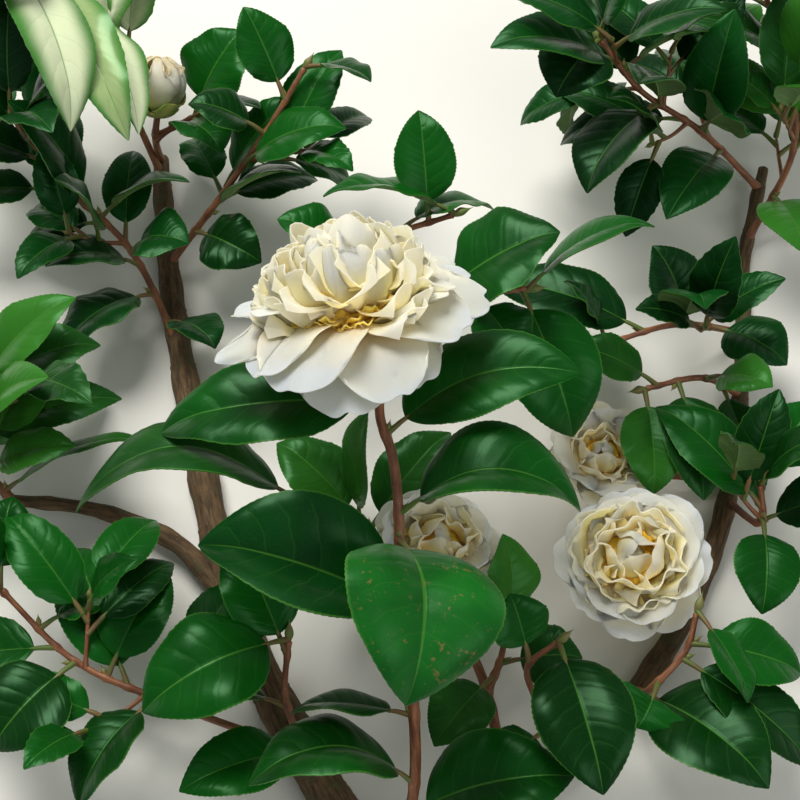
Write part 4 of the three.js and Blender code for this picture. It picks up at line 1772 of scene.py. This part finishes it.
@dataclass(frozen=True)
class Petal:
    """How a petal is shaped, whatever its course; most measures are shares of its width or length."""

    wide: float
    seed: float
    cup: float = 0.1
    ruffle: float = 0.05
    folds: float = 1.5
    wave: float = 0.05
    notch: float = 0.0
    ragged: float = 0.03
    pleat: float = 0.0
    twist: float = 0.0
    pointed: float = 0.0
    curl: float = 0.0
    thick: float = 0.45
    dent: float = 0.05
    rows: int = 26
    columns: int = 20
    lobes: float = 0.0
    CLAW = 0.42
    ROUNDED = 0.3
    WIDEST = 0.64
    SHOULDER = 0.62

    def half(self, along: float) -> float:
        """Gives half the petal's width at a share of its length, from its claw to its shoulder."""
        base = 1 - (1 - self.CLAW) * (1 - min(1.0, along / self.WIDEST)) ** 1.7
        past = max(0.0, along - self.WIDEST) / self.SHOULDER
        blunt = math.sqrt(max(0.0, 1 - past**2))
        narrow = 1 - self.pointed * smooth(along, 0.35, 1.0)
        return self.wide / 2 * base * blunt * narrow

    def sheet(self, frames: Frames, length: float, finish: int = 0) -> Shape:
        """Makes the petal along a course.

        Args:
            frames: The frames of its rows.
            length: The petal's length.
            finish: Its material index.

        Returns:
            The closed petal.
        """
        seed, tau = self.seed, 2 * math.pi
        starts = [tau * chance(seed, i) for i in range(6)]
        tone = chance(seed, 9)
        notch_at = 0.5 * (chance(seed, 10) - 0.5)

        def place(row: int, along: float, across: float) -> Vector:
            """Puts a point of the upper side."""
            point, ahead, sideways, rise = frames[row]
            edge = abs(across)
            half = self.half(along)
            tip = along**3
            short = self.ROUNDED * (1 - math.sqrt(max(0.0, 1 - 0.98 * across**2))) * tip
            short += self.notch * math.exp(-(((across - notch_at) / 0.17) ** 2)) * along**7
            short += self.lobes * (1 - math.cos(tau * 1.5 * across + starts[4])) * along**5
            short += self.ragged * tip * noise.noise(Vector((across * 2.2, seed * 3.7, 0)))
            short += 0.3 * self.ragged * along**6 * noise.noise(Vector((across * 7.0, seed * 5.1, 4.0)))
            angle = self.twist * (along - 0.3)
            turned = sideways * math.cos(angle) + rise * math.sin(angle)
            risen = rise * math.cos(angle) - sideways * math.sin(angle)
            lift = self.cup * self.wide * across**2 * math.sin(math.pi * min(1.0, along * 0.85 + 0.1))
            ruffled = math.sin(tau * self.folds * across * 0.5 + starts[0])
            lift += self.ruffle * self.wide * along**1.5 * ruffled
            fold = noise.noise(Vector((across * 2.7, along * 0.7, seed * 2.3 + starts[1])))
            lift += self.pleat * self.wide * fold * along**0.7
            side_start = starts[2] if across > 0 else starts[3]
            lift += self.wave * self.wide * edge**2 * math.sin(tau * (1.7 * along) + side_start)
            lift += self.curl * length * along**4
            dent = noise.noise(Vector((along * 3.2, across * 2.4, seed * 1.9)))
            lift += self.dent * self.wide * dent * along
            return point - ahead * (short * length) + turned * (half * across) + risen * lift

        def pattern(along: float, across: float) -> Place:
            """Gives the share along the petal, the place across it and its tone."""
            return (along, across, tone)

        both = (finish, finish)
        return Shape.sheet(self.rows, self.columns, place, pattern, self.thick, both)

    def on(self, arc: Arc, basis: Matrix, finish: int = 0) -> Shape:
        """Makes the petal along an arc of a flower.

        Args:
            arc: Its course.
            basis: The flower's frame.
            finish: Its material index.

        Returns:
            The closed petal.
        """
        return self.sheet(arc.frames(basis, self.rows), arc.length, finish)


@dataclass(frozen=True)
class Arc:
    """A petal's course that leaves the bloom's axis at one angle and ends at another, in degrees."""

    turn: float
    length: float
    leave: float
    end: float
    root: float
    sunk: float = 0.0

    def frames(self, basis: Matrix, rows: int) -> Frames:
        """Gives the frame of each row, from a bloom's frame and the petal's number of steps."""
        turn, leave = math.radians(self.turn), math.radians(self.leave)
        out_x, out_y = math.cos(turn), math.sin(turn)
        bend = math.radians(self.end - self.leave)
        turned = basis.to_3x3()
        made = []
        for i in range(rows + 1):
            angle = leave + bend * i / rows
            out = self.root + self.length / bend * (math.cos(leave) - math.cos(angle))
            high = self.length / bend * (math.sin(angle) - math.sin(leave)) - self.sunk
            along = Vector((out_x * math.sin(angle), out_y * math.sin(angle), math.cos(angle)))
            across = Vector((out_y, -out_x, 0))
            point = basis @ Vector((out_x * out, out_y * out, high))
            made.append((point, turned @ along, turned @ across, turned @ across.cross(along)))
        return made


@dataclass(frozen=True)
class Guard:
    """A large outer petal with its own place: where its tip is seen, its width and its shape."""

    tip: Place
    wide: float
    arch: float
    notch: float = 0.0
    pointed: float = 0.0
    layer: float = 0.0
    turned: float = 0.0

    def frames(self, basis: Matrix, rows: int) -> Frames:
        """Gives the frame of each row, from the bloom's heart to the tip."""
        axis = basis.to_3x3() @ Vector((0, 0, 1))
        face = axis + Vector((0, -self.turned, 0))
        root = basis.translation + axis * self.layer
        leaf = Leaf(root, seen(self.tip), self.wide, face, self.arch)
        return [leaf.frame(i / rows) for i in range(rows + 1)]


@dataclass(frozen=True)
class Guards:
    """A ring of guard petals that grow by rule."""

    count: int
    size: float
    seed: int
    leave: float
    end: float
    droop: float


@dataclass(frozen=True)
class Dome:
    """The small petals that stand in a spiral over the bloom's heart."""

    count: int
    seed: int
    radius: float
    height: float
    gap: float = 0.0
    broad: float = 1.0
    pleated: float = 1.0


def flower_basis(centre: Place, facing: Place) -> Matrix:
    """Gives a flower's frame: its z is the flower's axis."""
    axis = Vector(facing).normalized()
    right = off(Vector((1, 0, 0)), axis)
    turned = Matrix((right, axis.cross(right), axis)).transposed()
    return Matrix.Translation(seen(centre)) @ turned.to_4x4()


@dataclass(frozen=True)
class Bloom:
    """A bloom of the form whose large guard petals ring a dome of small ones.

    FRONT is the turn that faces the viewer, in degrees; OUTERMOST the lean of the dome's last
    petal; GAP_FROM the lean from which the gap at the front is kept clear; SHOULDERS how far the
    dome swells halfway down.
    """

    name: str
    centre: Place
    facing: Place
    core: float
    dome: Dome
    guards: Guards | None = None
    placed: tuple[Guard, ...] = ()
    reach: float = 34.0
    FRONT = 270.0
    OUTERMOST = 88.0
    GAP_FROM = 41.0
    SHOULDERS = 0.09
    STAMENS = 15
    STAMEN_STEP = 7.0
    SEPALS = 7

    def placed_guards(self, basis: Matrix) -> list[Shape]:
        """Makes the guard petals that have their own places."""
        made = []
        for i, guard in enumerate(self.placed):
            frames = guard.frames(basis, 34)
            petal = Petal(
                guard.wide,
                60 + i,
                cup=0.015 * (1 + guard.layer),
                ruffle=0.02,
                folds=1.6,
                wave=0.02,
                notch=guard.notch,
                ragged=0.014,
                dent=0.02,
                pointed=guard.pointed,
                lobes=0.006,
                rows=34,
                columns=28,
            )
            length = (frames[-1][0] - frames[0][0]).length
            made.append(petal.sheet(frames, length))
        return made

    def grown_guards(self, basis: Matrix, rule: Guards) -> list[Shape]:
        """Makes the guard petals that grow by rule: an outer ring, then a shorter inner one."""
        made = []
        for i in range(2 * rule.count):
            inner = i >= rule.count
            turn = 360 * i / rule.count + 18 * (chance(rule.seed, i) - 0.5)
            turn += 180 / rule.count if inner else 0
            length = rule.size * (0.95 + 0.14 * chance(rule.seed, i + 20)) * (0.86 if inner else 1.0)
            end = rule.end + 16 * (chance(rule.seed, i + 80) - 0.5)
            end -= rule.droop * math.sin(math.radians(turn)) + (22 if inner else 0)
            leave = rule.leave + 10 * (chance(rule.seed, i + 60) - 0.5) - (8 if inner else 0)
            arc = Arc(turn, length, leave, end, 3.0, -1.0 if inner else 0.0)
            petal = Petal(
                rule.size * (0.88 + 0.2 * chance(rule.seed, i + 40)),
                rule.seed + i * 1.7,
                cup=0.06,
                ruffle=0.03,
                wave=0.03,
                notch=0.05 * chance(rule.seed, i + 90),
                ragged=0.02,
                dent=0.015,
            )
            made.append(petal.on(arc, basis))
        return made

    def dome_shapes(self, basis: Matrix) -> list[Shape]:
        """Makes the crinkled petals of the dome, over a rumpled heart."""
        dome = self.dome
        curl_in, rows, columns = (40, 22, 20) if self.placed else (70, 16, 16)
        made = []
        for i in range(dome.count):
            share = (i + 0.5) / dome.count
            lean = self.OUTERMOST * math.sqrt(share)
            turn = (i * GOLDEN_ANGLE + 30 * (chance(dome.seed, i) - 0.5)) % 360
            if lean > self.GAP_FROM and abs(turn - self.FRONT) < dome.gap:
                continue
            tilt = math.radians(lean)
            reach = math.hypot(dome.radius * math.sin(tilt), dome.height * math.cos(tilt))
            reach *= 1 + self.SHOULDERS * math.sin(2 * tilt)
            length = reach * (1.08 + 0.16 * chance(dome.seed, i + 100))
            wide = dome.broad * reach * (0.78 + 0.34 * chance(dome.seed, i + 200))
            curve = 56 + 26 * chance(dome.seed, i + 300) + curl_in * (1 - share) ** 3
            arc = Arc(turn, length, lean + 0.45 * curve, lean - 0.9 * curve, 1 + 4 * share)
            petal = Petal(
                wide,
                dome.seed + 3.1 * i,
                cup=0.2 + 0.14 * chance(dome.seed, i + 400),
                ruffle=0.04,
                folds=1.4 + 1.4 * chance(dome.seed, i + 500),
                wave=0.04,
                notch=0.08 * chance(dome.seed, i + 600) ** 2,
                ragged=0.02,
                pleat=0.16 * dome.pleated,
                twist=0.35 * (chance(dome.seed, i + 700) - 0.5),
                curl=0.04 * (chance(dome.seed, i + 800) - 0.5),
                lobes=0.012,
                rows=rows,
                columns=columns,
            )
            made.append(petal.on(arc, basis))
        return made

    def heart_shape(self, basis: Matrix) -> Shape:
        """Makes the rumpled body within the dome, which the small petals spring from."""
        size = Vector((self.dome.radius, self.dome.radius, self.dome.height)) * 0.66

        def place(direction: Vector) -> Vector:
            """Puts a point of the rumpled wall."""
            spot = direction * 2.6 + Vector((self.dome.seed, 0, 0))
            rumple = 1 + 0.22 * noise.turbulence(spot, 3, False) + 0.1 * noise.noise(spot * 3)
            local = Vector(d * s for d, s in zip(direction, size)) * rumple
            return basis @ Vector((local.x, local.y, max(local.z, -0.4)))

        def pattern(direction: Vector) -> Place:
            """Gives the share up the wall and the turn round it."""
            return (0.2 * max(0.0, direction.z), direction.x, 0.8 + 0.2 * direction.y)

        return Shape.ball(5, place, pattern)

    def stamen_shapes(self, basis: Matrix) -> list[Shape]:
        """Makes the few stamens and short inner petals that show at the front of the dome."""
        made = []
        for i in range(self.STAMENS):
            turn = self.FRONT + self.STAMEN_STEP * (i - 8) + 6 * (chance(71, i) - 0.5)
            length = self.dome.radius * (0.68 + 0.2 * chance(72, i))
            arc = Arc(turn, length, 92 - 10 * chance(73, i), 70 - 34 * chance(74, i), 3.0)
            petal = Petal(
                length * 0.38,
                90 + i,
                cup=0.25,
                ruffle=0.06,
                wave=0.06,
                ragged=0.02,
                pleat=0.16,
                rows=16,
                columns=14,
            )
            made.append(petal.on(arc, basis, 1))
        return made

    def sepal_shapes(self, basis: Matrix, foot: float, size: float) -> list[Shape]:
        """Makes the green scales that hold the bloom from below.

        Args:
            basis: The bloom's frame.
            foot: How far the foot reaches below the petals.
            size: A scale's length.

        Returns:
            The scales.
        """
        made = []
        for i in range(self.SEPALS):
            turn = i * 360 / self.SEPALS + 20 * chance(81, i)
            arc = Arc(turn, size, 84, 36 + 14 * chance(82, i), 0.8, foot)
            petal = Petal(
                size * 0.95, 30 + i, cup=0.16, ruffle=0.02, wave=0.03, thick=0.7, rows=12, columns=10
            )
            made.append(petal.on(arc, basis))
        return made

    def build(self, finishes: dict[str, bpy.types.Material]) -> None:
        """Makes the bloom.

        Args:
            finishes: The materials of the guard petals, the dome, the heart and the scales, by name.
        """
        basis = flower_basis(self.centre, self.facing)
        outer = Piece(self.name + "_guards", (finishes["petal_guard"],))
        outer.take(*self.placed_guards(basis))
        if self.guards:
            outer.take(*self.grown_guards(basis, self.guards))
        outer.finish("petal", self.name)
        dome = finishes["petal_dome" if self.placed else "petal_small_dome"]
        inner = Piece(self.name + "_dome", (dome, finishes["petal_heart"]))
        inner.take(*self.dome_shapes(basis), self.heart_shape(basis), *self.stamen_shapes(basis))
        inner.finish("petal")
        scales = Piece(self.name + "_scales", (finishes["green_scale"],))
        scales.take(*self.sepal_shapes(basis, self.core + 0.5, 1.25 * self.core + 2))
        scales.finish("bud")


BLOOMS = (
    Bloom(
        "bloom_main",
        (-17, 29, 5),
        (-0.18, -0.34, 0.92),
        9.0,
        Dome(54, 7, 31, 36, gap=38),
        placed=(
            Guard((-42, 42, 38), 36, 0.06),
            Guard((-17, 40, 46), 38, 0.06),
            Guard((8, 45, 38), 36, 0.05),
            Guard((-60, 32, 18), 30, 0.08),
            Guard((-54, 31, -12), 20, 0.1),
            Guard((18.6, 51, 22), 22, 0.08, 0.03, turned=0.7),
            Guard((26.5, 45, 12), 24, 0.08, 0.06, turned=0.5),
            Guard((33, 36, 0), 27, 0.1, 0.05, layer=1, turned=0.9),
            Guard((25, 25, -16), 36, 0.12, 0.03, layer=2, turned=0.35),
            Guard((9, 5, -20), 34, 0.14, 0.03, layer=-1.2),
            Guard((-67, 14, -8), 30, 0.08, 0.0, 0.55, layer=-1, turned=1.0),
            Guard((-52, 8, -18), 34, 0.14, 0.02, layer=3.2),
            Guard((-38.5, 2, -28), 42, 0.16, 0.02, layer=1.6),
            Guard((-18, -6.5, -26), 40, 0.17, 0.03, layer=-2.2),
            Guard((-1, -0.5, -30), 36, 0.18, 0.03, layer=0.4),
            Guard((20, 40, -12), 26, 0.08, 0.04, layer=2),
        ),
        reach=54.0,
    ),
    Bloom(
        "bloom_right",
        (84, -58, 66),
        (-0.15, -0.93, 0.34),
        7.0,
        Dome(24, 17, 20, 17, broad=1.5, pleated=0.35),
        Guards(8, 28, 12, 78, 96, 4),
    ),
    Bloom(
        "bloom_behind",
        (12, -54, 62),
        (0.2, -0.75, 0.63),
        6.0,
        Dome(18, 27, 16, 15, broad=1.5, pleated=0.35),
        Guards(7, 24, 21, 70, 84, 4),
    ),
    Bloom(
        "bloom_far",
        (72, -22, 100),
        (0.1, -0.85, 0.5),
        6.0,
        Dome(18, 39, 14, 13, broad=1.5, pleated=0.35),
        Guards(7, 23, 33, 66, 84, 4),
    ),
)


@dataclass(frozen=True)
class Bud:
    """A flower bud: petals wrapped over one another, held by green scales."""

    at: Place = (-87, 104, 136)
    facing: Place = (0.05, -0.35, 0.93)
    reach: float = 24.0
    PETALS = 7
    OUTER = 4
    SCALES = 6

    def build(self, finishes: dict[str, bpy.types.Material]) -> None:
        """Makes the bud.

        Args:
            finishes: The materials, by name.
        """
        basis = flower_basis(self.at, self.facing)
        piece = Piece("bud_petals", (finishes["petal_bud"], finishes["green_scale"]))
        for i in range(self.PETALS):
            outer = i < self.OUTER
            turn = i * GOLDEN_ANGLE
            length = (31.5 if outer else 32.5) - 0.8 * chance(91, i)
            arc = Arc(turn, length, 78, -66 if outer else -76, 2.0 if outer else 1.4)
            petal = Petal(
                21.0,
                40 + i,
                cup=0.27,
                ruffle=0.0,
                wave=0.0,
                ragged=0.008,
                pointed=0.62,
                dent=0.02,
                thick=0.6,
                columns=18,
            )
            piece.take(petal.on(arc, basis))
        for i in range(self.SCALES):
            size = 15.5 - 1.3 * i
            arc = Arc(i * GOLDEN_ANGLE + 30, size, 88, 6 + 6 * i, 1.0, 1.3 + 0.25 * i)
            petal = Petal(
                size * 0.95, 50 + i, cup=0.18, ruffle=0.01, wave=0.02, thick=0.7, rows=14, columns=12
            )
            piece.take(petal.on(arc, basis, 1))
        piece.finish("bud", "bud")


@dataclass(frozen=True)
class Flowers:
    """The blooms and the bud, with the finishes that they share."""

    guard: PetalFinish = PetalFinish(
        "petal_guard",
        0.5,
        base=colour(0.95, 0.55, 0.05),
        body=colour(0.84, 0.8, 0.6),
        # Painted shade: the margin is greyed and greened for the lower guard petals, which lie in shade.
        margin=colour(0.8, 0.82, 0.74),
        # The yellow base reaches far out: partly the petals' own colour, partly painted glow of light
        # through them in the crease.
        heart=0.8,
    )
    dome: PetalFinish = PetalFinish(
        "petal_dome",
        0.5,
        base=colour(0.95, 0.5, 0.03),
        # The body and margin are the petals' own cream, made yellower as painted glow of light passing
        # through them into their shade.
        body=colour(0.98, 0.86, 0.42),
        margin=colour(0.98, 0.93, 0.68),
        heart=0.6,
    )
    small_dome: PetalFinish = PetalFinish(
        "petal_small_dome",
        0.5,
        base=colour(0.95, 0.45, 0.02),
        body=colour(0.96, 0.79, 0.3),
        margin=colour(0.96, 0.9, 0.62),
        heart=0.6,
    )
    heart: PetalFinish = PetalFinish(
        "petal_heart",
        0.5,
        # The heart's own orange-yellow, made brighter and purer as painted glow of the light that passes
        # through the petals round it.
        base=colour(0.98, 0.45, 0.004),
        body=colour(1.0, 0.56, 0.02),
        margin=colour(1.0, 0.68, 0.12),
        heart=0.6,
    )
    bud: PetalFinish = PetalFinish(
        "petal_bud",
        0.45,
        base=colour(0.4, 0.46, 0.05),
        body=colour(0.95, 0.84, 0.56),
        margin=colour(0.9, 0.66, 0.36),
        heart=0.72,
    )
    scale: PlainFinish = PlainFinish(
        "green_scale", 0.5, one=colour(0.26, 0.36, 0.06), other=colour(0.42, 0.42, 0.12), scale=160.0
    )

    def build(self, effects: Effects) -> None:
        """Makes every bloom and the bud.

        Args:
            effects: The shared node groups.
        """
        parts = (self.guard, self.dome, self.small_dome, self.heart, self.bud, self.scale)
        finishes = {part.name: part.material(effects) for part in parts}
        for bloom in BLOOMS:
            bloom.build(finishes)
        Bud().build(finishes)


@dataclass(frozen=True)
class Softbox:
    """A soft lamp, aimed at the bloom from a direction in the scene."""

    name: str
    way: Place
    distance: float
    size: float
    power: float
    tint: Place


@dataclass(frozen=True)
class Studio:
    """The floor, the lamps and the camera."""

    floor_size: float = 6.0
    view_half: float = 144.0
    world_strength: float = 0.3
    lamps: tuple[Softbox, ...] = (
        Softbox("lamp_key", (-0.32, 0.68, 1.0), 1.5, 0.9, 26.0, (1.0, 0.96, 0.88)),
        Softbox("lamp_fill", (0.75, -0.65, 0.8), 1.8, 1.4, 9.0, (1.0, 0.97, 0.9)),
    )

    def build(self, effects: Effects) -> None:
        """Makes the studio.

        Args:
            effects: The shared node groups.
        """
        self.floor(effects)
        for lamp in self.lamps:
            self.lamp(lamp)
        self.world()
        self.camera()

    def floor(self, effects: Effects) -> None:
        """Makes the plain pale floor."""
        mesh = bmesh.new()
        bmesh.ops.create_grid(mesh, x_segments=1, y_segments=1, size=self.floor_size / 2)
        made = bpy.data.meshes.new("floor")
        mesh.to_mesh(made)
        mesh.free()
        one, other = colour(0.8, 0.8, 0.78), colour(0.78, 0.78, 0.76)
        pale = PlainFinish("floor", 0.7, one=one, other=other, scale=2.0, relief=0.0)
        made.materials.append(pale.material(effects))
        floor = add_object("floor", made)
        floor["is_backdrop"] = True

    def lamp(self, lamp: Softbox) -> None:
        """Hangs a lamp."""
        light = bpy.data.lights.new(lamp.name, "AREA")
        light.shape = "DISK"
        light.size = lamp.size
        light.energy = lamp.power
        light.color = lamp.tint
        target = to_scene() @ seen((0, 0, 0))
        way = Vector(lamp.way).normalized()
        aimed = way.to_track_quat("Z", "Y").to_matrix().to_4x4()
        hung = add_object(lamp.name, light)
        hung.matrix_world = Matrix.Translation(target + way * lamp.distance) @ aimed

    def world(self) -> None:
        """Lights the studio softly from all round."""
        world = bpy.data.worlds.new("studio")
        world.use_nodes = True
        ground = world.node_tree.nodes["Background"]
        ground.inputs["Color"].default_value = colour(0.97, 1.0, 0.98)
        ground.inputs["Strength"].default_value = self.world_strength
        bpy.context.scene.world = world

    def camera(self) -> None:
        """Sets up the camera where the branch was seen from."""
        lens = bpy.data.cameras.new("camera")
        lens.lens_unit = "FOV"
        lens.angle = 2 * math.atan(self.view_half / VIEW_DISTANCE)
        lens.clip_start = 0.01
        viewer = Matrix.Translation((0, -VIEW_DISTANCE, 0)) @ Matrix.Rotation(math.radians(90), 4, "X")
        stood = to_scene() @ viewer
        camera = add_object("camera", lens)
        camera.matrix_world = Matrix.LocRotScale(stood.translation, stood.to_quaternion(), None)
        bpy.context.scene.camera = camera
        bpy.context.scene.view_settings.view_transform = "Standard"


def write_sizes(before: object, after: object) -> None:
    """Gathers the box of the solids and the box of the visual model into a table, which is not kept.

    Args:
        before: The solids' lowest and highest corners.
        after: The visual model's lowest and highest corners.
    """
    pairs = (("solids", before), ("visual", after))
    boxes = {name: [list(corner) for corner in box] for name, box in pairs}


def main() -> None:
    """Builds the branch and the studio, in order."""
    logging.basicConfig(level=logging.INFO, format="%(message)s")
    effects = Effects()
    Studio().build(effects)
    framework = Framework(LIMBS)
    Woodwork().build(framework, effects)
    Foliage().build(framework, effects)
    Flowers().build(effects)
    write_sizes(SOLIDS_BOX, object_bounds())


if __name__ == "__main__":
    main()
